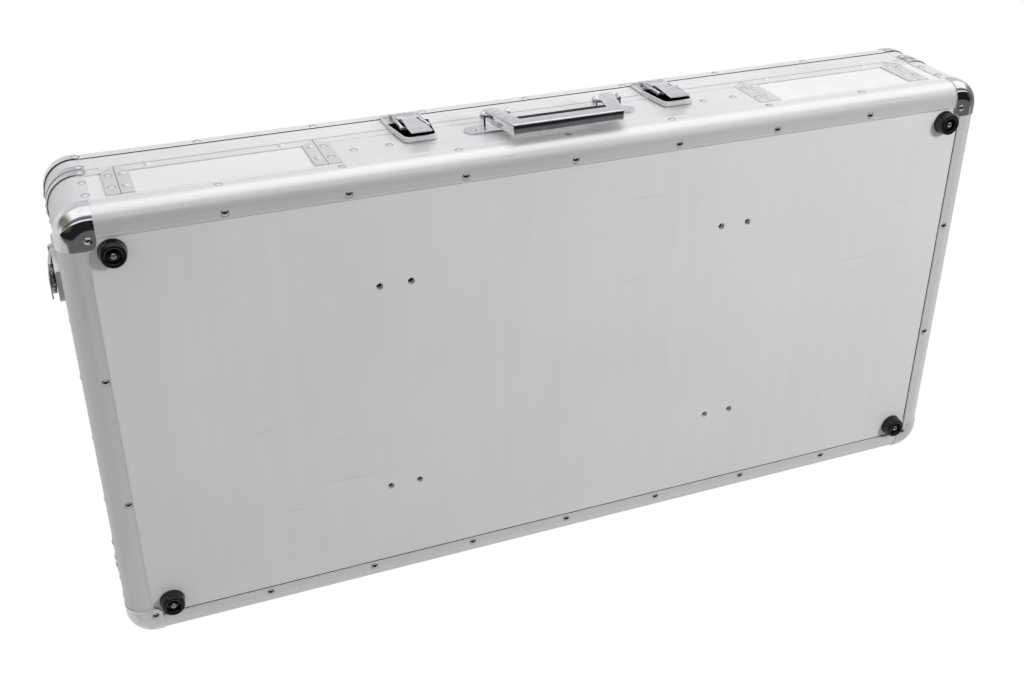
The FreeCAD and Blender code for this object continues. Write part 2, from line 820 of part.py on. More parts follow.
LATCHES = {
    "front_left": ("front", -LATCH_X),
    "front_right": ("front", LATCH_X),
    "left": ("left", LATCH_Y),
    "right": ("right", -LATCH_Y),
}
PIVOT_Z = SEAM_Z - LEVER_PIVOT_DOWN
PIVOT_Y = -LEVER_PIVOT_OUT
BAIL_Z = PIVOT_Z - BAIL_DROP
BAIL_TOP_Z = BAIL_Z + BAIL_LENGTH
LEVER_BACK_Y = PIVOT_Y - LEVER_PLATE_OUT
LEVER_TOP_Z = PIVOT_Z + LEVER_TOP_UP
LEVER_KINK_Z = LEVER_TOP_Z - LEVER_LENGTH


def at_latch(shape, name):
    side, x = LATCHES[name]
    return on_side(moved(shape, x, 0, 0), side)


def dish_path(inset, top):
    """Outline of the base half of a latch plate, narrower towards its foot."""
    half, foot = LATCH_W / 2 - inset, LATCH_FOOT_W / 2 - inset
    low = SEAM_Z - LATCH_DOWN + inset
    cut = LATCH_CHAMFER
    points = [(foot - cut, low), (foot, low + cut), (half, SEAM_Z - LATCH_SHOULDER), (half, top)]
    return points + [(-x, z) for x, z in reversed(points)]


def ear(x0, thickness, radius):
    """Ear on the dish floor that holds the lever pin."""
    path = [
        (-LATCH_FLOOR, PIVOT_Z - radius),
        (PIVOT_Y, PIVOT_Z - radius),
        ((PIVOT_Y - radius, PIVOT_Z), (PIVOT_Y, PIVOT_Z + radius)),
        (-LATCH_FLOOR, PIVOT_Z + radius),
    ]
    return prism_x(path, x0, x0 + thickness)


def latch_dish():
    top = SEAM_Z - LATCH_GAP
    body = prism_y(dish_path(0, top), -LATCH_RIM_H, 0)
    hollow = prism_y(dish_path(LATCH_RIM, top + 1), -LATCH_RIM_H - 1, -LATCH_FLOOR)
    rim_edges = [e for e in body.Edges if e.BoundBox.YMax < -LATCH_RIM_H + 0.01 and e.BoundBox.ZMax < top - 0.01]
    body = body.makeFillet(LATCH_RIM * 0.45, rim_edges).cut(hollow)
    ear_x = LEVER_EAR_OUT - LEVER_EAR_T - LATCH_GAP - DISH_EAR_T
    dish = fused([body] + left_and_right(ear(ear_x, DISH_EAR_T, DISH_EAR_R)))
    return dish.cut(lever_pin_rod(LEVER_PIN_R))


def lever_pin_rod(radius):
    return rod_x(radius, -LEVER_EAR_OUT, LEVER_EAR_OUT, PIVOT_Y, PIVOT_Z)


def latch_pins():
    return [at_latch(lever_pin_rod(LEVER_PIN_R), name) for name in LATCHES]


def latch_keeper():
    """Lid half of a latch plate: a rim, the hook under the bail's bar and the dome above it."""
    low, high = LID_Z + LATCH_GAP, SEAM_Z + LATCH_UP
    half = LATCH_W / 2
    body = box(-half, half, -KEEPER_RIM_H, 0, low, high)
    inner = half - LATCH_RIM
    hollow = box(-inner, inner, -KEEPER_RIM_H - 1, -LATCH_FLOOR, low - 1, high - LATCH_RIM)
    z1 = BAIL_TOP_Z - BAIL_ARM_T - LATCH_GAP
    z0 = z1 - HOOK_H
    hook_path = [(-LATCH_FLOOR, z0), (-HOOK_OUT, z0 + HOOK_H / 2), (-HOOK_OUT, z1), (-LATCH_FLOOR, z1)]
    hook = prism_x(hook_path, -HOOK_W / 2, HOOK_W / 2)
    z2 = BAIL_TOP_Z + KEEPER_GAP
    z3 = z2 + KEEPER_DOME_H
    middle = (-KEEPER_DOME_OUT * 0.8, z2 + KEEPER_DOME_H * 0.7)
    dome_path = [(-LATCH_FLOOR, z2), (-KEEPER_DOME_OUT, z2), (middle, (-LATCH_FLOOR, z3))]
    dome_body = prism_x(dome_path, -KEEPER_DOME_W / 2, KEEPER_DOME_W / 2)
    return fused([body.cut(hollow), hook, dome_body])


def lever_back(z):
    """Y of the lever plate's back at a height: it stands out further towards its foot."""
    return LEVER_BACK_Y - LEVER_FLARE * (LEVER_TOP_Z - z) / LEVER_LENGTH


def latch_lever():
    """Flaring lever plate with an upright lip and two ears round the pin."""
    kink = lever_back(LEVER_KINK_Z)
    low = LEVER_KINK_Z - LEVER_LIP
    back_line = [(LEVER_BACK_Y, LEVER_TOP_Z), (kink, LEVER_KINK_Z), (kink, low)]
    face_line = [(y - LEVER_PLATE_T, z) for y, z in reversed(back_line)]
    profile = prism_x(back_line + face_line, -LEVER_W / 2, LEVER_W / 2)
    outline = [
        (LEVER_TOP_W / 2, LEVER_TOP_Z),
        (LEVER_W / 2, LEVER_KINK_Z),
        (LEVER_W / 2, low),
        (-LEVER_W / 2, low),
        (-LEVER_W / 2, LEVER_KINK_Z),
        (-LEVER_TOP_W / 2, LEVER_TOP_Z),
    ]
    plate = profile.common(prism_y(outline, kink - LEVER_PLATE_T - 1, LEVER_BACK_Y + 1))
    margin = LEVER_PIN_R + LEVER_PIN_WALL
    foot = BAIL_Z - margin
    ear_path = [
        (LEVER_BACK_Y, LEVER_TOP_Z),
        (PIVOT_Y + margin, LEVER_TOP_Z),
        (PIVOT_Y + margin, BAIL_Z),
        (PIVOT_Y, foot),
        (lever_back(foot), foot),
    ]
    side = prism_x(ear_path, LEVER_EAR_OUT - LEVER_EAR_T, LEVER_EAR_OUT)
    body = fused([plate] + left_and_right(side))
    stub_bore = rod_x(LEVER_PIN_R + RUN_GAP, -LEVER_EAR_OUT, LEVER_EAR_OUT, PIVOT_Y, BAIL_Z)
    return cut_by(body, [lever_pin_rod(LEVER_PIN_R + RUN_GAP), stub_bore])


def latch_bail():
    """Pull loop: two converging arms, a top bar that sits on the hook and a plate between them."""
    y0, y1 = PIVOT_Y - BAIL_ARM_T / 2, PIVOT_Y + BAIL_ARM_T / 2
    low, w = BAIL_Z - BAIL_FOOT, BAIL_ARM_W
    arm_path = [
        (BAIL_HALF_LOW - w, low),
        (BAIL_HALF_LOW, low),
        (BAIL_HALF_TOP, BAIL_TOP_Z),
        (BAIL_HALF_TOP - w, BAIL_TOP_Z),
    ]
    arm = prism_y(arm_path, y0, y1)
    foot_edges = [e for e in arm.Edges if e.BoundBox.ZMax < low + 0.01 and e.BoundBox.XLength > w / 2]
    arm = arm.makeFillet(BAIL_ARM_T * 0.45, foot_edges)
    bar_z = BAIL_TOP_Z - BAIL_ARM_T
    bar = box(-BAIL_HALF_TOP, BAIL_HALF_TOP, y0, y1, bar_z, BAIL_TOP_Z)
    hook_half = HOOK_W / 2
    tongue = box(-hook_half, hook_half, y1, -BAIL_HOOK_OUT, bar_z, BAIL_TOP_Z)
    plate_low = LEVER_TOP_Z + BAIL_PLATE_GAP
    share = (plate_low - low) / (BAIL_TOP_Z - low)
    wide = BAIL_HALF_LOW - share * (BAIL_HALF_LOW - BAIL_HALF_TOP) - w / 2
    narrow = BAIL_HALF_TOP - w / 2
    plate_high = BAIL_TOP_Z - w / 2
    plate_path = [(-wide, plate_low), (wide, plate_low), (narrow, plate_high), (-narrow, plate_high)]
    plate = prism_y(plate_path, PIVOT_Y - BAIL_PLATE_T / 2, PIVOT_Y + BAIL_PLATE_T / 2)
    stub = rod_x(LEVER_PIN_R, LEVER_EAR_OUT - LEVER_EAR_T, BAIL_HALF_LOW - w / 2, PIVOT_Y, BAIL_Z)
    return fused([bar, tongue, plate] + left_and_right(arm) + left_and_right(stub))


def plate_screws(z, half):
    """Two screw heads at one height, beside the rim of a latch plate that is half wide there."""
    x = half - LATCH_RIM - SCREW_R - LATCH_GAP
    return [head_out(SCREW, s * x, z, LATCH_FLOOR) for s in (-1, 1)]


def latch_screws():
    slope = (LATCH_W - LATCH_FOOT_W) / 2 / (LATCH_DOWN - LATCH_CHAMFER - LATCH_SHOULDER)
    below = LATCH_SCREW_DOWN + SCREW_R - LATCH_SHOULDER
    return plate_screws(SEAM_Z - LATCH_SCREW_DOWN, LATCH_W / 2 - slope * below)


def keeper_screws():
    return plate_screws(SEAM_Z + KEEPER_SCREW_UP, LATCH_W / 2)


# Hinges, drawn like the latches and set on the back

HINGE_PLACES = (-HINGE_X, 0.0, HINGE_X)


def at_hinges(shape):
    return [on_side(moved(shape, x, 0, 0), "back") for x in HINGE_PLACES]


def hinge_leaf(up):
    """Leaf and knuckles of one hinge half; up is 1 for the lid and -1 for the base.

    The pin is tight in the base knuckles and turns in the lid knuckle.
    """
    half, mid = HINGE_W / 2, HINGE_MIDDLE_W / 2
    near = HINGE_Z + up * (HINGE_KNUCKLE_R + 0.7)
    far = near + up * HINGE_LEAF_H
    reach = HINGE_Z + up * (SEAM_GAP + HINGE_END_GAP)
    plate = box(-half, half, -HINGE_LEAF_T, 0, min(near, far), max(near, far))
    if up > 0:
        spans = [(HINGE_END_GAP - mid, mid - HINGE_END_GAP)]
        bore_r = HINGE_PIN_R + RUN_GAP
    else:
        spans = [(-half, -mid), (mid, half)]
        bore_r = HINGE_PIN_R
    pieces = [plate]
    for x0, x1 in spans:
        pieces.append(rod_x(HINGE_KNUCKLE_R, x0, x1, -HINGE_OUT, HINGE_Z))
        pieces.append(box(x0, x1, -HINGE_LEAF_T, 0, min(near, reach), max(near, reach)))
    return fused(pieces).cut(rod_x(bore_r, -half, half, -HINGE_OUT, HINGE_Z))


def hinge_pin():
    half = HINGE_W / 2
    return rod_x(HINGE_PIN_R, -half, half, -HINGE_OUT, HINGE_Z)


def hinge_screws(up):
    z = HINGE_Z + up * (HINGE_KNUCKLE_R + HINGE_LEAF_H / 2)
    row = [head_out(SCREW, s * HINGE_W / 3, z, HINGE_LEAF_T) for s in (-1, 0, 1)]
    return [head for screw in row for head in at_hinges(screw)]


def base_screws():
    heads = bracket_screws() + hinge_screws(-1)
    for name in LATCHES:
        heads += [at_latch(head, name) for head in latch_screws()]
    return heads


def lid_screws():
    heads = hinge_screws(1)
    for name in LATCHES:
        heads += [at_latch(head, name) for head in keeper_screws()]
    return heads


# All nodes by name

def build():
    cap = corner_cap()
    nodes = {
        "base_bottom_panel": bottom_panel(),
        "base_front_wall": front_wall(),
        "base_back_wall": base_wall("back"),
        "base_left_wall": base_wall("left"),
        "base_right_wall": base_wall("right"),
        "base_rim_front": front_rim(),
        "base_corner_posts": base_posts(),
        "base_corner_caps": group(four_corners(cap)),
        "base_corner_braces": base_braces(),
        "base_fasteners": group(base_rivets() + base_screws()),
        "base_foam": base_foam(),
        "front_plate": front_plate(),
        "hatch_opening_frames": group(jamb_strips() + hatch_stops()),
        "rubber_feet": group([rubber_foot(x, y) for x, y in foot_places()]),
        "foot_fasteners": group([make(x, y) for make in (foot_washer, foot_screw) for x, y in foot_places()]),
        "handle_brackets": handle_brackets(),
        "handle_grip": handle_grip(),
        "handle_liner": handle_liner(),
        "lid_top_panel": for_lid(cover_panel()),
        "lid_corner_posts": lid_posts(),
        "lid_corner_caps": group([for_lid(c) for c in four_corners(cap)]),
        "lid_corner_braces": lid_braces(),
        "lid_fasteners": group(lid_rivets() + lid_screws()),
        "lid_foam": lid_foam(),
        "hinge_base_leaves": group(at_hinges(hinge_leaf(-1))),
        "hinge_lid_leaves": group(at_hinges(hinge_leaf(1))),
        "latch_keepers": group([at_latch(latch_keeper(), name) for name in LATCHES]),
        "latch_dishes": group([at_latch(latch_dish(), name) for name in LATCHES]),
        "pivot_pins": group(handle_pins() + latch_pins() + at_hinges(hinge_pin())),
    }
    for side in SIDE_TURN:
        nodes["bottom_edge_" + side] = edge_extrusion(side)
        nodes["lid_edge_" + side] = for_lid(edge_extrusion(side))
        nodes["lid_wall_" + side] = lid_wall(side)
        nodes["lid_band_" + side] = lid_band(side)
    for side in ("back", "left", "right"):
        nodes["base_rim_" + side] = plain_rim(side)
    for name in LATCHES:
        nodes["latch_lever_" + name] = at_latch(latch_lever(), name)
        nodes["latch_bail_" + name] = at_latch(latch_bail(), name)
    right_panel = on_side(hatch_panel(), "front")
    right_frame = on_side(hatch_frame(), "front")
    nodes["hatch_right_panel"] = right_panel
    nodes["hatch_right_frame"] = right_frame
    nodes["hatch_left_panel"] = mirrored(right_panel, V(1, 0, 0))
    nodes["hatch_left_frame"] = mirrored(right_frame, V(1, 0, 0))
    return nodes


os.makedirs("parts", exist_ok=True)
for name, shape in build().items():
    shape = shape.copy()
    shape.translate(FRAME_SHIFT)
    shape.exportStep("parts/" + name + ".step")
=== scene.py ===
import json
import math
import random

import bmesh
import bpy
from mathutils import Matrix, Vector


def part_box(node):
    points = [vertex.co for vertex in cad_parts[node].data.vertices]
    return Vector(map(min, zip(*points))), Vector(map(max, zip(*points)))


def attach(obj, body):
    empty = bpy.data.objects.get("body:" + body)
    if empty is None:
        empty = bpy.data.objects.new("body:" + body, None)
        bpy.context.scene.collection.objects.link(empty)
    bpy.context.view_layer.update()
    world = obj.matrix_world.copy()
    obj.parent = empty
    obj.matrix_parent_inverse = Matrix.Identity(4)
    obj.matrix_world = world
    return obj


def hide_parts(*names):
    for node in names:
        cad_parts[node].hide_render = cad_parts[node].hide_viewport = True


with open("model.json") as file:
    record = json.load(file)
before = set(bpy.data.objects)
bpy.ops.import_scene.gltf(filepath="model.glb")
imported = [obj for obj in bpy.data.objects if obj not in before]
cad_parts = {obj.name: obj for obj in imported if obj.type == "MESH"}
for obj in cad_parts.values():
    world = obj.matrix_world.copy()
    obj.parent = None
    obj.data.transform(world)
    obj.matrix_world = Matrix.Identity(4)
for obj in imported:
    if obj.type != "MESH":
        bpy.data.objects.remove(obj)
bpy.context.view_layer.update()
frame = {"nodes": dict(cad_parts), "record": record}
nodes = frame["nodes"]
record = frame["record"]
body_of = {node: body for body, members in record["behaviour"]["bodies"].items() for node in members}
slot_of = {part["node"]: part["material_slot"] for part in record["subparts"]}
random.seed(11)

MM = 0.001

# Sizes of the case, from the frame, in metres

post_low, post_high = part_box("base_corner_posts")
panel_low, panel_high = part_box("base_bottom_panel")
lid_panel_low, lid_panel_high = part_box("lid_top_panel")
HALF_L = post_high.x
HALF_D = (post_high.y - post_low.y) / 2
MID_Y = (post_high.y + post_low.y) / 2
SHEET = 1.5 * MM
BASE_Z = panel_low.z - SHEET
TOP_Z = lid_panel_high.z + SHEET
SEAM_Z = post_high.z
LID_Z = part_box("lid_corner_posts")[0].z
BAND_TOP = TOP_Z - 29 * MM
EDGE_R = 20 * MM
EDGE_LEG = 29 * MM
CORNER_R = 32 * MM
RIM_H = 14 * MM
CAP_T = 1.2 * MM
CAP_REACH_X = 38 * MM
CAP_REACH_Y = 41 * MM
CAP_ROUND = 10 * MM
CAP_RISE = 28 * MM
CAP_LAP = 3 * MM
RUN_SEGMENTS = 24
SIDES = {"front": (0, -1), "back": (0, 1), "left": (-1, 0), "right": (1, 0)}


# Material helpers

def new_material(name):
    mat = bpy.data.materials.new(name)
    mat.use_nodes = True
    tree = mat.node_tree
    return mat, tree, tree.nodes["Principled BSDF"]


def coords(tree, scale=(1, 1, 1), turn=(0, 0, 0)):
    """Point of the resting case, stretched and turned."""
    place = tree.nodes.new("ShaderNodeTexCoord")
    mapping = tree.nodes.new("ShaderNodeMapping")
    mapping.inputs["Scale"].default_value = scale
    mapping.inputs["Rotation"].default_value = turn
    tree.links.new(place.outputs["Object"], mapping.inputs["Vector"])
    return mapping.outputs["Vector"]


def noise(tree, vector, scale, detail=2.0, rough=0.5):
    tex = tree.nodes.new("ShaderNodeTexNoise")
    tex.inputs["Scale"].default_value = scale
    tex.inputs["Detail"].default_value = detail
    tex.inputs["Roughness"].default_value = rough
    tree.links.new(vector, tex.inputs["Vector"])
    return tex.outputs["Fac"]


def spread(tree, value, low, high, to_low, to_high):
    """Maps a value from one range to another and stops at its ends."""
    node = tree.nodes.new("ShaderNodeMapRange")
    node.inputs["From Min"].default_value = low
    node.inputs["From Max"].default_value = high
    node.inputs["To Min"].default_value = to_low
    node.inputs["To Max"].default_value = to_high
    tree.links.new(value, node.inputs["Value"])
    return node.outputs["Result"]


def calc(tree, operation, first, second):
    node = tree.nodes.new("ShaderNodeMath")
    node.operation = operation
    for socket, value in zip(node.inputs, (first, second)):
        if isinstance(value, (int, float)):
            socket.default_value = value
        else:
            tree.links.new(value, socket)
    return node.outputs[0]


def blend_colours(tree, factor, first, second):
    node = tree.nodes.new("ShaderNodeMix")
    node.data_type = "RGBA"
    tree.links.new(factor, node.inputs[0])
    for socket, value in ((node.inputs[6], first), (node.inputs[7], second)):
        if isinstance(value, tuple):
            socket.default_value = (*value, 1)
        else:
            tree.links.new(value, socket)
    return node.outputs[2]


def bump(tree, bsdf, height, strength, distance):
    node = tree.nodes.new("ShaderNodeBump")
    node.inputs["Strength"].default_value = strength
    node.inputs["Distance"].default_value = distance
    tree.links.new(height, node.inputs["Height"])
    tree.links.new(node.outputs["Normal"], bsdf.inputs["Normal"])


def brushed_metal(name, dark, light, metallic, rough, along, grain=1.0):
    """Metal with fine lines along one axis, cloudy tone, scuffs and a few thin scratches."""
    mat, tree, bsdf = new_material(name)
    lines = tuple(4 if axis == along else 420 for axis in "XYZ")
    fine = noise(tree, coords(tree, lines), 1.0, 3.0, 0.6)
    broad_lines = tuple(0.8 if axis == along else 60 for axis in "XYZ")
    broad = noise(tree, coords(tree, broad_lines), 1.0, 2.0)
    cloud = noise(tree, coords(tree), 5.5, 3.0)
    tone = calc(tree, "ADD", calc(tree, "MULTIPLY", fine, 0.3 * grain), calc(tree, "MULTIPLY", broad, 0.3))
    tone = calc(tree, "ADD", tone, calc(tree, "MULTIPLY", cloud, 0.55))
    tone = spread(tree, tone, 0.4, 0.75, 0.0, 1.0)
    colour = blend_colours(tree, tone, dark, light)
    scratch = noise(tree, coords(tree, (9, 260, 90), (0, 0, 0.5)), 1.0, 1.0)
    mark = spread(tree, scratch, 0.70, 0.74, 0.0, 0.35)
    patch = spread(tree, noise(tree, coords(tree), 3.1, 1.0), 0.5, 0.62, 0.0, 1.0)
    mark = calc(tree, "MULTIPLY", mark, patch)
    colour = blend_colours(tree, mark, colour, tuple(c * 0.82 for c in dark))
    tree.links.new(colour, bsdf.inputs["Base Color"])
    bsdf.inputs["Metallic"].default_value = metallic
    gloss = spread(tree, calc(tree, "ADD", fine, cloud), 0.7, 1.3, rough - 0.06, rough + 0.08)
    tree.links.new(gloss, bsdf.inputs["Roughness"])
    height = calc(tree, "SUBTRACT", fine, calc(tree, "MULTIPLY", mark, 2.0))
    bump(tree, bsdf, height, 0.18 * grain, 0.0002)
    return mat


def plated_metal(name, colour, rough, smudge, wave):
    """Plated metal: slightly wavy, with smudges and fine handling scratches."""
    mat, tree, bsdf = new_material(name)
    cloud = noise(tree, coords(tree), 55, 3.0)
    dull = tuple(c * 0.86 for c in colour)
    patches = spread(tree, noise(tree, coords(tree), 120, 2.0), 0.45, 0.75, 0.0, 1.0)
    tree.links.new(blend_colours(tree, patches, colour, dull), bsdf.inputs["Base Color"])
    bsdf.inputs["Metallic"].default_value = 1.0
    tree.links.new(spread(tree, cloud, 0.45, 0.8, rough, rough + smudge), bsdf.inputs["Roughness"])
    hair = noise(tree, coords(tree, (300, 2600, 900), (0.3, 0.2, 0.9)), 1.0, 1.0)
    swell = noise(tree, coords(tree), 90, 1.0)
    height = calc(tree, "ADD", calc(tree, "MULTIPLY", hair, 0.04), calc(tree, "MULTIPLY", swell, wave))
    bump(tree, bsdf, height, 0.25, 0.0006)
    return mat


def moulded(name, dark, light, rough, grain_scale, depth):
    """Rubber or plastic with a fine grain, a little dust and uneven gloss."""
    mat, tree, bsdf = new_material(name)
    grain = noise(tree, coords(tree), grain_scale, 2.0)
    dust = spread(tree, noise(tree, coords(tree), 160, 4.0, 0.7), 0.55, 0.8, 0.0, 1.0)
    tree.links.new(blend_colours(tree, dust, dark, light), bsdf.inputs["Base Color"])
    tree.links.new(spread(tree, dust, 0.0, 1.0, rough, rough + 0.2), bsdf.inputs["Roughness"])
    bump(tree, bsdf, grain, 0.3, depth)
    return mat


def foam_material():
    """Open-cell foam: pits between soft grains, with painted shade darkening the pits."""
    mat, tree, bsdf = new_material("foam")
    cells = tree.nodes.new("ShaderNodeTexVoronoi")
    cells.inputs["Scale"].default_value = 420
    tree.links.new(coords(tree), cells.inputs["Vector"])
    pits = spread(tree, cells.outputs["Distance"], 0.1, 0.7, 0.0, 1.0)
    # painted shade: the colour darkens in the pits that the bump sinks
    tone = calc(tree, "MULTIPLY", pits, spread(tree, noise(tree, coords(tree), 9, 3.0), 0.3, 0.7, 0.6, 1.0))
    tree.links.new(blend_colours(tree, tone, (0.008, 0.008, 0.009), (0.05, 0.05, 0.054)), bsdf.inputs["Base Color"])
    bsdf.inputs["Roughness"].default_value = 0.95
    bsdf.inputs["Sheen Weight"].default_value = 0.25
    bump(tree, bsdf, pits, 0.8, 0.0008)
    return mat


def plywood_material():
    """Thin birch layers, meant for the edge and inside of the panels; no part is given this material."""
    mat, tree, bsdf = new_material("plywood")
    layers = noise(tree, coords(tree, (30, 30, 700)), 1.0, 2.0)
    colour = blend_colours(tree, layers, (0.30, 0.19, 0.10), (0.55, 0.40, 0.25))
    tree.links.new(colour, bsdf.inputs["Base Color"])
    bsdf.inputs["Roughness"].default_value = 0.7
    bump(tree, bsdf, layers, 0.3, 0.0003)
    return mat


laminate_along = {
    axis: brushed_metal("laminate_" + axis.lower(), (0.76, 0.757, 0.765), (0.82, 0.815, 0.815), 0.15, 0.5, axis, 0.5)
    for axis in "XY"
}
strip_trim = brushed_metal("strip_metal", (0.69, 0.68, 0.69), (0.75, 0.74, 0.75), 0.45, 0.36, "Z", 0.5)
trim_along = {
    axis: brushed_metal("trim_" + axis.lower(), (0.78, 0.78, 0.78), (0.84, 0.84, 0.84), 0.45, 0.36, axis, 0.5)
    for axis in "XYZ"
}
chrome = plated_metal("chrome", (0.86, 0.86, 0.88), 0.03, 0.05, 0.08)
steel = plated_metal("steel", (0.72, 0.72, 0.73), 0.12, 0.10, 0.12)
pressed_plate = plated_metal("pressed_plate", (0.80, 0.79, 0.81), 0.16, 0.02, 0.03)
pressed_plate.node_tree.nodes["Principled BSDF"].inputs["Metallic"].default_value = 0.5
dark_steel = plated_metal("dark_steel", (0.05, 0.05, 0.052), 0.25, 0.2, 0.2)
rubber = moulded("rubber", (0.004, 0.004, 0.005), (0.010, 0.010, 0.010), 0.2, 900, 0.0001)
plastic = moulded("black_plastic", (0.004, 0.003, 0.005), (0.009, 0.007, 0.010), 0.5, 1400, 0.0001)
plastic.node_tree.nodes["Principled BSDF"].inputs["Specular IOR Level"].default_value = 0.2
# Painted shade: this near-black material is laid as thin sheets where only shade falls: seam lines, rivet seats and
# the floors of the latch dishes.
painted_shade_black = moulded("seam_shadow", (0.010, 0.010, 0.013), (0.02, 0.02, 0.024), 0.7, 500, 0.0001)
painted_shade_black.node_tree.nodes["Principled BSDF"].inputs["Specular IOR Level"].default_value = 0.1
foam = foam_material()
plywood = plywood_material()


# Mesh helpers

def add_mesh(name, bm, mat, sharp=35.0):
    """Object from a bmesh, shaded smooth up to an angle between faces."""
    bmesh.ops.recalc_face_normals(bm, faces=bm.faces)
    mesh = bpy.data.meshes.new(name)
    bm.to_mesh(mesh)
    bm.free()
    for poly in mesh.polygons:
        poly.use_smooth = True
    mesh.set_sharp_from_angle(angle=math.radians(sharp))
    obj = bpy.data.objects.new(name, mesh)
    bpy.context.scene.collection.objects.link(obj)
    mesh.materials.append(mat)
    return obj


def place(obj, body, slot, *replaced):
    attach(obj, body)
    if replaced:
        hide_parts(*replaced)
    return obj


def add_bevel(obj, width, segments=2, angle=40.0):
    mod = obj.modifiers.new("bevel", "BEVEL")
    mod.width = width
    mod.segments = segments
    mod.limit_method = "ANGLE"
    mod.angle_limit = math.radians(angle)
    mod.harden_normals = True
    return mod


def roll_long_edges(obj, width, segments=3, angle=40.0):
    """Rolls the sharp edges that are long enough to take the width."""
    mesh = obj.data
    bm = bmesh.new()
    bm.from_mesh(mesh)
    weight = bm.edges.layers.float.new("bevel_weight_edge")
    for edge in bm.edges:
        sharp = len(edge.link_faces) == 2 and edge.calc_face_angle() > math.radians(angle)
        edge[weight] = 1.0 if sharp and edge.calc_length() > 3 * width else 0.0
    bm.to_mesh(mesh)
    bm.free()
    mod = add_bevel(obj, width, segments)
    mod.limit_method = "WEIGHT"
    mod.use_clamp_overlap = False


def welded(node):
    """The node's mesh with its split corners joined and its flat faces whole."""
    bm = bmesh.new()
    bm.from_mesh(nodes[node].data)
    bmesh.ops.remove_doubles(bm, verts=bm.verts, dist=2e-6)
    bmesh.ops.dissolve_limit(bm, angle_limit=math.radians(0.5), verts=bm.verts, edges=bm.edges)
    return bm


def dressed(node, mat, width=0.3 * MM, segments=2):
    """The node's own shape with rolled edges."""
    obj = add_mesh(node + "_finished", welded(node), mat)
    roll_long_edges(obj, width, segments)
    return place(obj, body_of[node], slot_of[node], node)


def islands(bm):
    """Separate solids of a mesh, as lists of vertices."""
    seen = set()
    groups = []
    for start in bm.verts:
        if start in seen:
            continue
        seen.add(start)
        stack, group = [start], []
        while stack:
            vert = stack.pop()
            group.append(vert)
            for edge in vert.link_edges:
                other = edge.other_vert(vert)
                if other not in seen:
                    seen.add(other)
                    stack.append(other)
        groups.append(group)
    return groups


def lathe(bm, profile, base, axis, steps=24):
    """Turns a profile of (radius, height) points round an axis from a base point."""
    axis = Vector(axis).normalized()
    side = axis.orthogonal().normalized()
    other = axis.cross(side)
    rows = []
    for radius, height in profile:
        if radius == 0:
            rows.append([bm.verts.new(base + axis * height)])
            continue
        ring = []
        for i in range(steps):
            turn = 2 * math.pi * i / steps
            spoke = side * math.cos(turn) + other * math.sin(turn)
            ring.append(bm.verts.new(base + axis * height + spoke * radius))
        rows.append(ring)
    for low, high in zip(rows, rows[1:]):
        for i in range(steps):
            j = (i + 1) % steps
            if len(low) == 1:
                bm.faces.new((low[0], high[i], high[j]))
            elif len(high) == 1:
                bm.faces.new((low[i], low[j], high[0]))
            else:
                bm.faces.new((low[i], low[j], high[j], high[i]))


def strip_faces(bm, rows, closed=False):
    """Quads between neighbouring rows of vertices."""
    for low, high in zip(rows, rows[1:]):
        count = len(low) if closed else len(low) - 1
        for i in range(count):
            j = (i + 1) % len(low)
            bm.faces.new((low[i], low[j], high[j], high[i]))


def side_point(side, along, inward, z):
    """Point given by its place along a side, its depth inside the outer face and its height."""
    dx, dy = SIDES[side]
    half = HALF_D if dx == 0 else HALF_L
    out = half - inward
    return Vector((dx * out - dy * along, MID_Y + dy * out + dx * along, z))


def side_half(side):
    return HALF_L if SIDES[side][0] == 0 else HALF_D


def swept(name, profile, side, half, mat, caps=True):
    """Bar along a side from a closed profile of (depth, height) points."""
    bm = bmesh.new()
    ends = []
    for along in (-half, half):
        ends.append([bm.verts.new(side_point(side, along, depth, z)) for depth, z in profile])
    strip_faces(bm, ends, closed=True)
    if caps:
        for row in ends:
            bm.faces.new(row)
    return add_mesh(name, bm, mat)


def arc_points(centre, radius, start_deg, end_deg, steps):
    points = []
    for i in range(steps + 1):
        turn = math.radians(start_deg + (end_deg - start_deg) * i / steps)
        points.append((centre[0] + radius * math.cos(turn), centre[1] + radius * math.sin(turn)))
    return points


# Rounded edge extrusions with a bead along both legs

BEAD_W = 2.4 * MM
BEAD_H = 0.55 * MM


def edge_profile():
    """Outline of an edge extrusion: (depth from the wall face, height from the flat face)."""
    wall_bead = arc_points((0, EDGE_LEG - BEAD_W / 2), BEAD_W / 2, 90, 270, 6)
    wall_bead = [(depth * BEAD_H / (BEAD_W / 2), z) for depth, z in wall_bead]
    flat_bead = [(z, depth) for depth, z in reversed(wall_bead)]
    rolled = arc_points((EDGE_R, EDGE_R), EDGE_R, 180, 270, RUN_SEGMENTS)
    inner = [
        (EDGE_LEG, SHEET),
        (EDGE_R, SHEET),
        (EDGE_R, 8.5 * MM),
        (8.5 * MM, 8.5 * MM),
        (8.5 * MM, EDGE_R),
        (SHEET, EDGE_R),
        (SHEET, EDGE_LEG),
    ]
    return wall_bead + rolled + flat_bead + inner


def make_edges():
    for side in SIDES:
        reach = CAP_REACH_X if side in ("front", "back") else CAP_REACH_Y
        half = side_half(side) - reach + CAP_LAP
        mat = trim_along["X" if side in ("front", "back") else "Y"]
        low = [(depth, BASE_Z + z) for depth, z in edge_profile()]
        high = [(depth, TOP_Z - z) for depth, z in edge_profile()]
        place(swept("base_edge_" + side, low, side, half, mat), "base", "aluminium_trim", "bottom_edge_" + side)
        place(swept("top_edge_" + side, high, side, half, mat), "lid", "aluminium_trim", "lid_edge_" + side)


# Lid band with soft ribs

RIB_COUNT = 4
RIB_DEPTH = 0.7 * MM


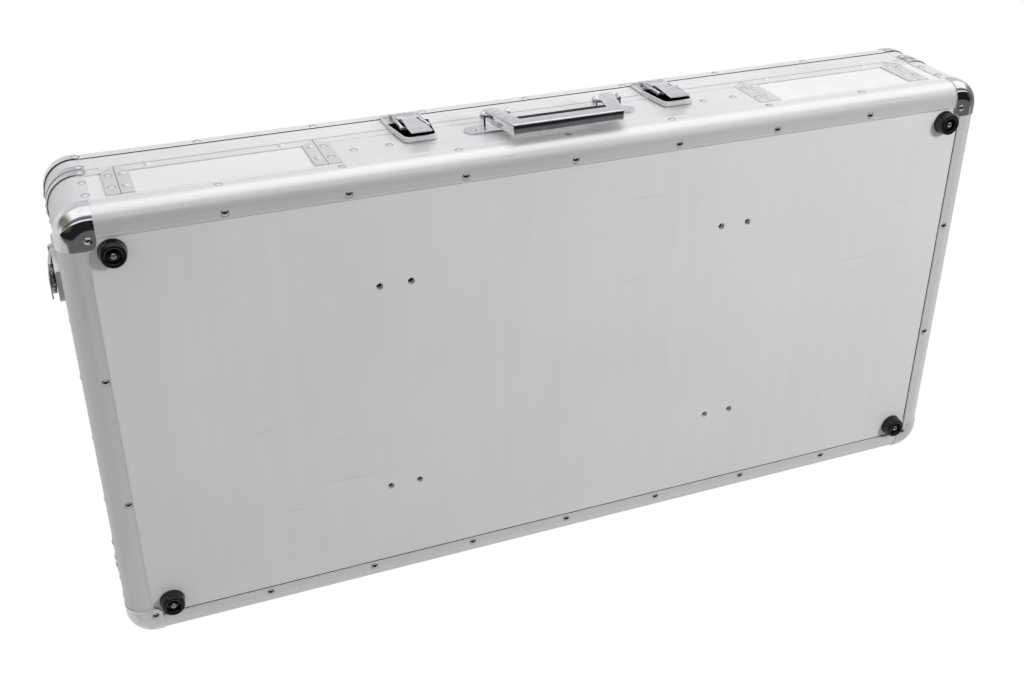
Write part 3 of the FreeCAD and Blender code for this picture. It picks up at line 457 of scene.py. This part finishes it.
def band_profile():
    rows = 64
    face = []
    for i in range(rows + 1):
        share = i / rows
        wave = 0.5 - 0.5 * math.cos(2 * math.pi * RIB_COUNT * share)
        face.append((RIB_DEPTH * (1 - wave ** 0.45), LID_Z + share * (BAND_TOP - LID_Z)))
    lip_in = 8.8 * MM
    lip_t = 1.5 * MM
    back = [
        (SHEET, BAND_TOP),
        (SHEET, LID_Z + SHEET),
        (lip_in, LID_Z + SHEET),
        (lip_in, LID_Z + 12 * MM),
        (lip_in + lip_t, LID_Z + 12 * MM),
        (lip_in + lip_t, SEAM_Z - 6 * MM),
        (lip_in, SEAM_Z - 6 * MM),
        (lip_in, LID_Z),
    ]
    return face + back


def make_bands():
    for side in SIDES:
        half = side_half(side) - 41 * MM
        mat = trim_along["X" if side in ("front", "back") else "Y"]
        band = swept("ribbed_band_" + side, band_profile(), side, half, mat)
        place(band, "lid", "aluminium_trim", "lid_band_" + side)


# Corner work: sheets that wrap round a corner

ARC_HALF = CORNER_R * math.pi / 4


def wrap(sx, sy, s, out):
    """Plan point round a corner: s runs from the side wall (-) to the front or back wall (+)."""
    radius = CORNER_R + out
    cx, cy = HALF_L - CORNER_R, HALF_D - CORNER_R
    if s > ARC_HALF:
        x, y = cx - (s - ARC_HALF), HALF_D + out
    elif s < -ARC_HALF:
        x, y = HALF_L + out, cy + s + ARC_HALF
    else:
        turn = math.pi / 4 + s / CORNER_R
        x, y = cx + radius * math.cos(turn), cy + radius * math.sin(turn)
    return sx * x, MID_Y + sy * y


def wrap_steps(reach):
    """Places along the wrap with more of them round the bend."""
    end = ARC_HALF + reach - CORNER_R
    flat = [end, ARC_HALF]
    bend = [-ARC_HALF + 2 * ARC_HALF * i / RUN_SEGMENTS for i in range(RUN_SEGMENTS + 1)]
    return [-end] + bend + [end] if end > ARC_HALF else bend


def corner_sheet(bm, sx, sy, steps, low_of, high_of, inner, outer):
    """Sheet round a corner between two offsets, with its lower and upper edge given along s."""
    rows = []
    for s in steps:
        x0, y0 = wrap(sx, sy, s, inner)
        x1, y1 = wrap(sx, sy, s, outer)
        low, high = low_of(s), high_of(s)
        corners = [(x1, y1, low), (x1, y1, high), (x0, y0, high), (x0, y0, low)]
        rows.append([bm.verts.new(c) for c in corners])
    strip_faces(bm, rows, closed=True)
    bm.faces.new(rows[0])
    bm.faces.new(rows[-1])


CORNERS = [(sx, sy) for sx in (-1, 1) for sy in (-1, 1)]


def make_posts():
    for body, z0, z1 in (("base", BASE_Z + EDGE_LEG, SEAM_Z), ("lid", LID_Z, BAND_TOP)):
        bm = bmesh.new()
        low, high = (z0 - 1.5 * MM, z1) if body == "base" else (z0, z1 + 1.5 * MM)
        for sx, sy in CORNERS:
            steps = wrap_steps(41 * MM)
            corner_sheet(bm, sx, sy, steps, lambda s: z0, lambda s: z1, -SHEET, 0)
            core = wrap_steps(CORNER_R)
            corner_sheet(bm, sx, sy, core, lambda s: low, lambda s: high, -8.5 * MM, -SHEET)
        obj = add_mesh(body + "_posts_finished", bm, trim_along["Z"])
        add_bevel(obj, 0.25 * MM)
        place(obj, body, "aluminium_trim", body + "_corner_posts")


BRACE_MID = 4.6 * MM
LOBE_R = 6.2 * MM


def brace_half(s, rivet_s):
    """Half height of a brace: slim round the bend, with a round lobe at each rivet."""
    away = abs(abs(s) - rivet_s)
    lobe = math.sqrt(max(0.0, LOBE_R ** 2 - away ** 2))
    if abs(s) > rivet_s:
        return max(lobe, 0.3 * MM)
    return max(lobe, BRACE_MID)


def make_braces():
    for body, node in (("base", "base_corner_braces"), ("lid", "lid_corner_braces")):
        low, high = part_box(node)
        mid = (low.z + high.z) / 2
        rivet_s = ARC_HALF + 36.5 * MM - CORNER_R
        end = rivet_s + LOBE_R
        lobe_steps = [rivet_s + LOBE_R * math.sin(math.radians(a)) for a in range(-60, 91, 10)]
        bend = [-ARC_HALF * 0.96 + 1.92 * ARC_HALF * i / RUN_SEGMENTS for i in range(RUN_SEGMENTS + 1)]
        inner_steps = [s for s in lobe_steps if s > bend[-1] + 0.2 * MM]
        steps = [-s for s in reversed(inner_steps)] + bend + inner_steps
        bm = bmesh.new()
        for sx, sy in CORNERS:
            corner_sheet(
                bm, sx, sy, steps,
                lambda s: mid - brace_half(s, rivet_s), lambda s: mid + brace_half(s, rivet_s), 0, CAP_T)
        obj = add_mesh(body + "_braces_finished", bm, steel)
        add_bevel(obj, 0.3 * MM)
        place(obj, body, "chrome_hardware", node)


def cap_rows(bm, sx, sy, grow, flip):
    """Skin of a corner cap at an offset: rows from the wall edge down over the rolled edge."""
    steps = [ARC_HALF + CAP_REACH_X - CORNER_R]
    steps += [ARC_HALF - 2 * ARC_HALF * i / RUN_SEGMENTS for i in range(RUN_SEGMENTS + 1)]
    steps += [-ARC_HALF - (CAP_REACH_Y - CORNER_R)]
    heights = [(0.0, CAP_RISE)]
    for i in range(RUN_SEGMENTS + 1):
        turn = math.radians(90 * i / RUN_SEGMENTS)
        heights.append((-EDGE_R * (1 - math.cos(turn)), EDGE_R * (1 - math.sin(turn))))
    rows = []
    for depth, height in heights:
        roll = max(0.0, min(1.0, (EDGE_R - height) / EDGE_R))
        turn = math.asin(roll)
        out = depth + grow * math.cos(turn)
        z = height - grow * math.sin(turn)
        z = BASE_Z + z if not flip else TOP_Z - z
        rows.append([bm.verts.new((*wrap(sx, sy, s, out), z)) for s in steps])
    strip_faces(bm, rows)
    flat_z = rows[-1][0].co.z
    x0, y0 = HALF_L - CAP_REACH_X, HALF_D - CAP_REACH_Y
    outline = arc_points((x0 + CAP_ROUND, y0 + CAP_ROUND), CAP_ROUND, 270, 180, 10)
    inner = [bm.verts.new((sx * x, MID_Y + sy * y, flat_z)) for x, y in outline]
    bm.faces.new(rows[-1] + inner)
    return rows, inner


def make_caps():
    for body, flip in (("base", False), ("lid", True)):
        bm = bmesh.new()
        for sx, sy in CORNERS:
            outer_rows, outer_flat = cap_rows(bm, sx, sy, CAP_T, flip)
            inner_rows, inner_flat = cap_rows(bm, sx, sy, 0.02 * MM, flip)
            loops = []
            for rows, flat in ((outer_rows, outer_flat), (inner_rows, inner_flat)):
                ends = [row[-1] for row in rows[1:]]
                starts = [row[0] for row in reversed(rows[1:])]
                loops.append(rows[0] + ends + flat + starts)
            strip_faces(bm, loops, closed=True)
        obj = add_mesh(body + "_caps_finished", bm, chrome, 50)
        add_bevel(obj, 0.35 * MM, 3, 60)
        place(obj, body, "chrome_hardware", body + "_corner_caps")


# Painted shade: dark strips laid where one sheet ends on another, round the whole case

SHADE_LIFT = 0.12 * MM


def shade_line_round(name, body, z0, z1, out, corners=True, sides=SIDES):
    """Painted shade: a dark line round the case between two heights."""
    bm = bmesh.new()
    for side in sides:
        half = side_half(side) - CORNER_R
        rows = []
        for along in (-half, half):
            rows.append([bm.verts.new(side_point(side, along, depth, z)) for depth, z in (
                (-out, z0), (-out, z1), (0.1 * MM, z1), (0.1 * MM, z0))])
        strip_faces(bm, rows, closed=True)
    bend = [-ARC_HALF + 2 * ARC_HALF * i / RUN_SEGMENTS for i in range(RUN_SEGMENTS + 1)]
    for sx, sy in CORNERS if corners else ():
        corner_sheet(bm, sx, sy, bend, lambda s: z0, lambda s: z1, -0.1 * MM, out)
    # the strip is painted shade; black_plastic is only the label handed to place
    place(add_mesh(name, bm, painted_shade_black), body, "black_plastic")


def panel_shade_line():
    """Painted shade: a dark line on the bottom panel along the inner edge of the front, back and right extrusions,
    where shade falls at the step of each extrusion.
    """
    bm = bmesh.new()
    width = 0.9 * MM
    z = panel_low.z - SHADE_LIFT
    for side in ("front", "back", "right"):
        reach = (CAP_REACH_X if side in ("front", "back") else CAP_REACH_Y) + CAP_ROUND
        half = side_half(side) - reach
        corners = [
            side_point(side, along, depth, z)
            for along, depth in ((-half, EDGE_LEG), (half, EDGE_LEG), (half, EDGE_LEG + width), (-half, EDGE_LEG + width))
        ]
        low = [bm.verts.new(c) for c in corners]
        high = [bm.verts.new(c + Vector((0, 0, SHADE_LIFT))) for c in corners]
        strip_faces(bm, [low, high], closed=True)
        bm.faces.new(low)
    # painted shade strip; black_plastic is only the label handed to place
    place(add_mesh("panel_shade_line", bm, painted_shade_black), "base", "black_plastic")


def make_shade_lines():
    edge_end = TOP_Z - EDGE_LEG
    # painted shadow under the lower edge of the lid's top edge extrusions
    shade_line_round("lid_edge_shade_line", "lid", edge_end - 1.3 * MM, edge_end, SHADE_LIFT)
    # the real parting seam between lid and base, drawn wider and darker as painted shade
    shade_line_round("seam_shade_line", "base", SEAM_Z - 0.45 * MM, SEAM_Z, SHADE_LIFT, False)
    low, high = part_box("base_corner_braces")
    brace_low = (low.z + high.z) / 2 - BRACE_MID
    # painted shadow under the lower edge of the base's corner braces, round the corners only
    shade_line_round("brace_shade_line", "base", brace_low - 1.2 * MM, brace_low, SHADE_LIFT, True, ())
    panel_shade_line()


# Heads of rivets and screws, found in the frame

def rivet_profile(radius, height):
    brim = 0.1 * MM
    rise = height - brim
    ball = (radius ** 2 + rise ** 2) / (2 * rise)
    start = math.degrees(math.asin(radius / ball))
    dome = arc_points((0, height - ball), ball, 90 - start, 86, 10)
    return [(radius, 0.0)] + dome + [(0, height)]


def screw_profile(radius, height):
    dome = rivet_profile(radius, height * 0.92)
    return dome[:-3] + [(radius * 0.28, height * 0.86), (radius * 0.24, height * 0.55), (0, height * 0.5)]


WALL_HEAD_SHARE = 0.7
BRACKET_REACH = 125 * MM
BRACKET_SCREW_GROWTH = 1.5
CONTACT_SHADE_W = 0.22 * MM
CONTACT_SHADE_H = 0.06 * MM


def make_heads(node, mat):
    """Turned heads in the places of the node's plain ones, each ringed by a painted contact shadow at its seat."""
    source = welded(node)
    bm = bmesh.new()
    contact_shade = bmesh.new()
    for group in islands(source):
        low = [min(v.co[i] for v in group) for i in range(3)]
        high = [max(v.co[i] for v in group) for i in range(3)]
        size = [b - a for a, b in zip(low, high)]
        axis = size.index(min(size))
        height = size[axis]
        radius = max(size) / 2
        middle = Vector([(a + b) / 2 for a, b in zip(low, high)])
        rim = [v.co[axis] for v in group if abs(
            math.hypot(*[(v.co[i] - middle[i]) for i in range(3) if i != axis]) - radius) < 0.02 * radius]
        sign = 1 if middle[axis] > sum(rim) / len(rim) else -1
        base = middle.copy()
        base[axis] = low[axis] if sign > 0 else high[axis]
        direction = Vector((0, 0, 0))
        direction[axis] = sign
        screw = radius < 3 * MM
        if axis != 2 and not screw:
            height *= WALL_HEAD_SHARE
        if screw and abs(middle.x) < BRACKET_REACH and middle.y < 0:
            radius *= BRACKET_SCREW_GROWTH
            lathe(bm, rivet_profile(radius, height), base, direction)
        elif screw:
            lathe(bm, screw_profile(radius, height), base, direction)
        else:
            lathe(bm, rivet_profile(radius, height), base, direction)
        # painted contact shadow: a thin dark ring round each head
        outer = radius + CONTACT_SHADE_W
        lathe(contact_shade, [(outer, 0), (outer, CONTACT_SHADE_H), (radius * 0.9, CONTACT_SHADE_H), (radius * 0.9, 0)], base, direction)
    source.free()
    place(add_mesh(node + "_finished", bm, mat, 50), body_of[node], slot_of[node], node)
    # the rings are painted shade; black_plastic is only the label handed to place
    place(add_mesh(node + "_painted_seat_shadows", contact_shade, painted_shade_black), body_of[node], "black_plastic")


# Feet

def make_feet():
    low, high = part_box("rubber_feet")
    places = []
    source = welded("rubber_feet")
    for group in islands(source):
        xs = [v.co.x for v in group]
        ys = [v.co.y for v in group]
        places.append(((min(xs) + max(xs)) / 2, (min(ys) + max(ys)) / 2))
    source.free()
    top = high.z
    body_profile = [
        (14.5, 0.0), (14.5, 1.6), (14.3, 2.5), (13.9, 3.2), (13.7, 5.0), (13.3, 9.0), (12.9, 11.6),
        (12.3, 13.0), (11.4, 13.5), (10.2, 13.5), (9.0, 13.2), (8.2, 12.4), (7.9, 11.0), (7.8, 9.6), (2.2, 9.5),
    ]
    rubber_bm = bmesh.new()
    steel_bm = bmesh.new()
    washer_bm = bmesh.new()
    for x, y in places:
        seat = Vector((x, y, top))
        lathe(rubber_bm, [(r * MM, h * MM) for r, h in body_profile], seat, (0, 0, -1), 48)
        washer = [(2.2, 9.5), (6.6, 9.5), (6.9, 9.8), (6.9, 10.2), (6.5, 10.5), (2.2, 10.5)]
        lathe(washer_bm, [(r * MM, h * MM) for r, h in washer], seat, (0, 0, -1), 32)
        head = [(3.6, 10.5), (3.6, 11.0), (3.1, 12.0), (2.2, 12.6), (1.6, 12.7), (1.4, 11.6), (0, 11.4)]
        lathe(steel_bm, [(r * MM, h * MM) for r, h in head], seat, (0, 0, -1), 24)
    place(add_mesh("feet_finished", rubber_bm, rubber, 45), "base", "rubber_feet", "rubber_feet")
    place(add_mesh("foot_washers_finished", washer_bm, dark_steel, 45), "base", "steel_hardware", "foot_fasteners")
    place(add_mesh("foot_screws_finished", steel_bm, steel, 45), "base", "steel_hardware", "foot_fasteners")


# Foam lining, soft edges and a slightly uneven face

PAD_CORNER_R = 30 * MM


def rounded_plan(x, y, low, high, radius):
    """Moves a point near a square corner of a plan onto a quarter circle."""
    corner = [low.x + radius if x < low.x + radius else high.x - radius,
              low.y + radius if y < low.y + radius else high.y - radius]
    dx, dy = x - corner[0], y - corner[1]
    outside = low.x + radius < x < high.x - radius or low.y + radius < y < high.y - radius
    if outside or dx * dy == 0:
        return x, y
    share = max(abs(dx), abs(dy)) / math.hypot(dx, dy)
    return corner[0] + dx * share, corner[1] + dy * share


def soft_pad(name, low, high, cell):
    """Foam block with rolled edges; a pad as large as the case has round corners."""
    bm = bmesh.new()
    size = high - low
    full = size.x > HALF_L and size.y > HALF_D - MID_Y
    counts = [max(2, round(size[i] / cell)) for i in (0, 1)]
    faces = {}
    for level, z in enumerate((low.z, high.z)):
        grid = []
        for i in range(counts[0] + 1):
            row = []
            for j in range(counts[1] + 1):
                x = low.x + size.x * i / counts[0]
                y = low.y + size.y * j / counts[1]
                edge = min(i, j, counts[0] - i, counts[1] - j)
                sink = 1.2 * MM if edge == 0 else 0.0
                sink += 0.35 * MM * random.random()
                if full:
                    x, y = rounded_plan(x, y, low, high, PAD_CORNER_R)
                row.append(bm.verts.new((x, y, z + sink if level == 0 else z - sink)))
            grid.append(row)
        faces[level] = grid
        strip_faces(bm, grid)
    lower, upper = faces[0], faces[1]
    ring = [(i, 0) for i in range(counts[0] + 1)]
    ring += [(counts[0], j) for j in range(1, counts[1] + 1)]
    ring += [(i, counts[1]) for i in range(counts[0] - 1, -1, -1)]
    ring += [(0, j) for j in range(counts[1] - 1, 0, -1)]
    strip_faces(bm, [[lower[i][j] for i, j in ring], [upper[i][j] for i, j in ring]], closed=True)
    obj = add_mesh(name, bm, foam, 60)
    return obj


def make_foam():
    for node, body in (("base_foam", "base"), ("lid_foam", "lid")):
        source = welded(node)
        pads = []
        for k, group in enumerate(sorted(islands(source), key=len, reverse=True)):
            low = Vector([min(v.co[i] for v in group) for i in range(3)])
            high = Vector([max(v.co[i] for v in group) for i in range(3)])
            pads.append(soft_pad(f"{node}_pad_{k}", low, high, 9 * MM))
        source.free()
        for pad in pads:
            place(pad, body, "black_foam", node)


# Ends of the rim, cut at 45 degrees over the frames of the hatch openings

MITRE_T = 0.6 * MM


def make_mitres():
    """Triangles that carry the rim over the outer top corner of each opening frame."""
    low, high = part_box("hatch_opening_frames")
    bm = bmesh.new()
    for sx in (-1, 1):
        outer = sx * max(-low.x, high.x)
        corners = [(outer, SEAM_Z - RIM_H), (outer, SEAM_Z - 0.5 * MM), (outer - sx * RIM_H, SEAM_Z - 0.5 * MM)]
        back = [bm.verts.new((x, low.y, z)) for x, z in corners]
        front = [bm.verts.new((x, low.y - MITRE_T, z)) for x, z in corners]
        strip_faces(bm, [back, front], closed=True)
        bm.faces.new(front)
        bm.faces.new(back)
    place(add_mesh("mitred_rim_ends", bm, trim_along["X"]), "base", "aluminium_trim")


# Handle grip, a folded chrome bar with generous edges

HANDLE_BOTTOM = 18 * MM
HANDLE_TOP = 80 * MM
HANDLE_HALF_BOTTOM = 67 * MM
HANDLE_HALF_TOP = 81 * MM
HANDLE_ARM = 19 * MM
HANDLE_GRIP_H = 18 * MM
GRIP_EDGE = 2.8 * MM


def grip_half(z):
    share = (z - HANDLE_BOTTOM) / (HANDLE_TOP - HANDLE_BOTTOM)
    return HANDLE_HALF_BOTTOM + share * (HANDLE_HALF_TOP - HANDLE_HALF_BOTTOM)


def make_grip():
    low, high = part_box("handle_grip")
    inner_low = HANDLE_BOTTOM + HANDLE_GRIP_H
    right = [
        (grip_half(HANDLE_BOTTOM), HANDLE_BOTTOM),
        (grip_half(HANDLE_TOP), HANDLE_TOP),
        (grip_half(HANDLE_TOP) - HANDLE_ARM, HANDLE_TOP),
        (grip_half(inner_low) - HANDLE_ARM, inner_low),
    ]
    outline = right + [(-x, z) for x, z in reversed(right)]
    bm = bmesh.new()
    rows = [[bm.verts.new((x, y, low.z + z - HANDLE_BOTTOM)) for x, z in outline] for y in (low.y, high.y)]
    strip_faces(bm, rows, closed=True)
    for row in rows:
        bm.faces.new((row[0], row[3], row[4], row[7]))
        bm.faces.new((row[0], row[1], row[2], row[3]))
        bm.faces.new((row[7], row[4], row[5], row[6]))
    obj = add_mesh("grip_finished", bm, chrome, 180)
    mod = add_bevel(obj, GRIP_EDGE, 4, 20)
    mod.harden_normals = False
    place(obj, "handle", "chrome_hardware", "handle_grip")


# Latches: painted shade on the floor of each dish, bail arms moved out and thickened, rolled edges on bails, levers,
# dishes and keepers

LATCH_WAYS = {
    "front_left": (Vector((1, 0, 0)), Vector((0, -1, 0))),
    "front_right": (Vector((1, 0, 0)), Vector((0, -1, 0))),
    "left": (Vector((0, 1, 0)), Vector((-1, 0, 0))),
    "right": (Vector((0, 1, 0)), Vector((1, 0, 0))),
}
DISH_FLOOR = 1.35 * MM
DISH_SHADE_OUTLINE = [(13.0, 75.8), (15.0, 78.0), (14.0, 85.0)]
ARM_INNER = 10 * MM
ARM_RAISE = 2.2 * MM
ARM_THICKER = 1.0 * MM


def latch_pivots():
    return {joint["name"].removeprefix("latch_lever_"): Vector(joint["pos_m"])
            for joint in record["behaviour"]["joints"] if joint["name"].startswith("latch_lever_")}


def finish_latches():
    # painted shade: a dark sheet on the floor of each latch dish, below the lever, where the lever shades it
    dish_shade_bm = bmesh.new()
    for name, pivot in latch_pivots().items():
        along, out = LATCH_WAYS[name]
        wall = HALF_L if out.x else HALF_D - MID_Y
        middle = along * pivot.dot(along) + out * (wall + DISH_FLOOR)
        ring = DISH_SHADE_OUTLINE + [(-x, z) for x, z in reversed(DISH_SHADE_OUTLINE)]
        verts = [dish_shade_bm.verts.new(middle + along * x * MM + Vector((0, 0, z * MM))) for x, z in ring]
        dish_shade_bm.faces.new(verts)
        bail = dressed("latch_bail_" + name, pressed_plate, 1.3 * MM, 3)
        level = pivot.dot(out)
        for vert in bail.data.vertices:
            if abs(vert.co.dot(along) - pivot.dot(along)) > ARM_INNER and vert.co.z < SEAM_Z:
                lift = ARM_RAISE + (ARM_THICKER if vert.co.dot(out) > level else 0.0)
                vert.co += out * lift
        dressed("latch_lever_" + name, chrome, 0.45 * MM, 2)
    # the sheets are painted shade; black_plastic is only the label handed to place
    place(add_mesh("dish_floor_shade", dish_shade_bm, painted_shade_black), "base", "black_plastic")
    dressed("latch_dishes", pressed_plate, 0.8 * MM, 3)
    dressed("latch_keepers", pressed_plate, 0.8 * MM, 3)


# Panels keep the frame's shape

def finish_panels():
    for node, obj in nodes.items():
        if slot_of[node] == "laminate_panel":
            front = node.endswith(("front_wall", "back_wall", "wall_front", "wall_back")) or node.startswith("hatch")
            obj.data.materials.clear()
            obj.data.materials.append(laminate_along["X" if front else "Y"])


def finish_flat_trim():
    """Rims, frames and plates: the frame's shape with rolled edges."""
    for node in nodes:
        if node.startswith("base_rim") or node in ("front_plate", "hatch_opening_frames"):
            along = "Y" if node.endswith(("left", "right")) else "X"
            dressed(node, trim_along[along], 0.3 * MM)
        elif node in ("hatch_left_frame", "hatch_right_frame"):
            dressed(node, trim_along["X"], 0.3 * MM)
        if node.startswith("hatch_") and node.endswith(("_frame", "_frames")):
            strips = bpy.data.objects[node + "_finished"].data
            strips.materials.append(strip_trim)
            for poly in strips.polygons:
                poly.material_index = 1 if poly.center.z < SEAM_Z - RIM_H else 0


def finish_hardware():
    for node in nodes:
        if node == "handle_brackets":
            dressed(node, chrome, 0.4 * MM, 3)
        elif node == "handle_liner":
            dressed(node, plastic, 0.3 * MM)
        elif node.startswith("hinge_") or node == "pivot_pins":
            dressed(node, steel, 0.3 * MM)


make_edges()
make_bands()
make_posts()
make_braces()
make_caps()
make_shade_lines()
make_heads("base_fasteners", steel)
make_heads("lid_fasteners", steel)
make_feet()
make_foam()
finish_panels()
finish_flat_trim()
make_mitres()
make_grip()
finish_latches()
finish_hardware()


# Floor, seen only from above

def make_floor():
    mesh = bpy.data.meshes.new("floor")
    half = 6.0
    mesh.from_pydata([(-half, -half, 0), (half, -half, 0), (half, half, 0), (-half, half, 0)], [], [(0, 1, 2, 3)])
    floor = bpy.data.objects.new("floor", mesh)
    bpy.context.scene.collection.objects.link(floor)
    mat = bpy.data.materials.new("floor")
    mat.use_nodes = True
    tree = mat.node_tree
    tree.nodes.clear()
    out = tree.nodes.new("ShaderNodeOutputMaterial")
    mix = tree.nodes.new("ShaderNodeMixShader")
    diffuse = tree.nodes.new("ShaderNodeBsdfDiffuse")
    diffuse.inputs["Color"].default_value = (0.86, 0.86, 0.86, 1)
    clear = tree.nodes.new("ShaderNodeBsdfTransparent")
    path = tree.nodes.new("ShaderNodeLightPath")
    geo = tree.nodes.new("ShaderNodeNewGeometry")
    from_above = calc(tree, "SUBTRACT", path.outputs["Is Camera Ray"], geo.outputs["Backfacing"])
    from_above = calc(tree, "MAXIMUM", from_above, 0.0)
    tree.links.new(from_above, mix.inputs[0])
    tree.links.new(clear.outputs[0], mix.inputs[1])
    reach = tree.nodes.new("ShaderNodeVectorMath")
    reach.operation = "LENGTH"
    tree.links.new(geo.outputs["Position"], reach.inputs[0])
    faded = tree.nodes.new("ShaderNodeMixShader")
    white = tree.nodes.new("ShaderNodeEmission")
    white.inputs["Color"].default_value = (1, 1, 1, 1)
    tree.links.new(spread(tree, reach.outputs["Value"], 1.0, 2.0, 0.0, 1.0), faded.inputs[0])
    tree.links.new(diffuse.outputs[0], faded.inputs[1])
    tree.links.new(white.outputs[0], faded.inputs[2])
    tree.links.new(faded.outputs[0], mix.inputs[2])
    tree.links.new(mix.outputs[0], out.inputs["Surface"])
    mesh.materials.append(mat)


# World: white to the camera, and a studio round the long side to polished metal

STUDIO = [
    (-180, (0.75, 0.75, 0.76)),
    (-90, (0.60, 0.59, 0.58)),
    (-38, (0.52, 0.51, 0.50)),
    (-33, (0.13, 0.13, 0.135)),
    (-20, (0.12, 0.12, 0.125)),
    (-15, (0.015, 0.014, 0.016)),
    (35, (0.015, 0.014, 0.016)),
    (38, (1.0, 1.0, 1.0)),
    (43, (1.0, 1.0, 1.0)),
    (46, (0.16, 0.14, 0.15)),
    (53, (0.14, 0.125, 0.19)),
    (61, (0.25, 0.23, 0.32)),
    (68, (1.1, 1.1, 1.1)),
    (122, (1.1, 1.1, 1.1)),
    (134, (0.62, 0.60, 0.63)),
    (155, (0.66, 0.64, 0.67)),
    (180, (0.80, 0.80, 0.81)),
]


def make_world():
    world = bpy.data.worlds.new("studio")
    bpy.context.scene.world = world
    world.use_nodes = True
    tree = world.node_tree
    tree.nodes.clear()
    out = tree.nodes.new("ShaderNodeOutputWorld")
    path = tree.nodes.new("ShaderNodeLightPath")
    way = tree.nodes.new("ShaderNodeTexCoord")
    split = tree.nodes.new("ShaderNodeSeparateXYZ")
    tree.links.new(way.outputs["Generated"], split.inputs[0])
    front = calc(tree, "MULTIPLY", split.outputs["Y"], -1.0)
    below = calc(tree, "MULTIPLY", split.outputs["Z"], -1.0)
    angle = calc(tree, "ARCTAN2", front, below)
    ramp = tree.nodes.new("ShaderNodeValToRGB")
    for degrees, _ in STUDIO[1:-1]:
        ramp.color_ramp.elements.new((degrees + 180) / 360)
    for element, (degrees, colour) in zip(ramp.color_ramp.elements, STUDIO):
        element.position = (degrees + 180) / 360
        element.color = (*colour, 1)
    tree.links.new(spread(tree, angle, -math.pi, math.pi, 0.0, 1.0), ramp.inputs[0])
    seen = tree.nodes.new("ShaderNodeBackground")
    seen.inputs["Color"].default_value = (1, 1, 1, 1)
    seen.inputs["Strength"].default_value = 1.0
    toward_front = spread(tree, front, 0.1, 0.35, 0.0, 1.0)
    far_left = calc(tree, "MULTIPLY", spread(tree, split.outputs["X"], -0.55, -0.75, 0.0, 0.9), toward_front)
    far_right = spread(tree, split.outputs["X"], 0.86, 0.94, 0.0, 0.85)
    room = blend_colours(tree, far_left, ramp.outputs["Color"], (0.14, 0.12, 0.08))
    room = blend_colours(tree, far_right, room, (0.16, 0.12, 0.11))
    mirrored = tree.nodes.new("ShaderNodeBackground")
    tree.links.new(room, mirrored.inputs["Color"])
    mirrored.inputs["Strength"].default_value = 1.0
    lit = tree.nodes.new("ShaderNodeBackground")
    lit.inputs["Color"].default_value = (0.98, 0.97, 1.0, 1)
    lit.inputs["Strength"].default_value = 0.42
    glossy = tree.nodes.new("ShaderNodeMixShader")
    tree.links.new(path.outputs["Is Glossy Ray"], glossy.inputs[0])
    tree.links.new(lit.outputs[0], glossy.inputs[1])
    tree.links.new(mirrored.outputs[0], glossy.inputs[2])
    direct = tree.nodes.new("ShaderNodeMixShader")
    see_through = calc(tree, "MAXIMUM", path.outputs["Is Camera Ray"], path.outputs["Is Transmission Ray"])
    tree.links.new(see_through, direct.inputs[0])
    tree.links.new(glossy.outputs[0], direct.inputs[1])
    tree.links.new(seen.outputs[0], direct.inputs[2])
    tree.links.new(direct.outputs[0], out.inputs["Surface"])


def area_light(name, spot, target, size, power):
    data = bpy.data.lights.new(name, "AREA")
    data.shape = "RECTANGLE"
    data.size, data.size_y = size
    data.energy = power
    lamp = bpy.data.objects.new(name, data)
    bpy.context.scene.collection.objects.link(lamp)
    lamp.location = spot
    lamp.rotation_euler = (Vector(target) - Vector(spot)).to_track_quat("-Z", "Y").to_euler()
    lamp.visible_camera = False
    lamp.visible_glossy = False
    return lamp


make_floor()
make_world()
area_light("key", (1.4, -1.12, -1.87), (0, 0, 0.05), (0.45, 0.45), 36)
area_light("front", (0.2, -2.1, 0.75), (0, 0, 0.05), (1.8, 1.4), 30)
area_light("top", (-0.3, 0.6, 2.4), (0, 0, 0.05), (2.4, 2.0), 30)


# Camera, at the photograph's viewing angle

camera_data = bpy.data.cameras.new("camera")
camera_data.lens = 44.661
camera_data.sensor_width = 36.0
camera = bpy.data.objects.new("camera", camera_data)
bpy.context.scene.collection.objects.link(camera)
right = Vector((0.92972, -0.00062, -0.36829))
down = Vector((-0.18233, 0.86808, -0.46173))
forward = Vector((0.31999, 0.49643, 0.80695))
turn = Matrix((right, -down, -forward)).transposed()
camera.matrix_world = Matrix.Translation((-0.54869, -0.76710, -1.18057)) @ turn.to_4x4()
bpy.context.scene.camera = camera
bpy.context.scene.view_settings.view_transform = "Standard"
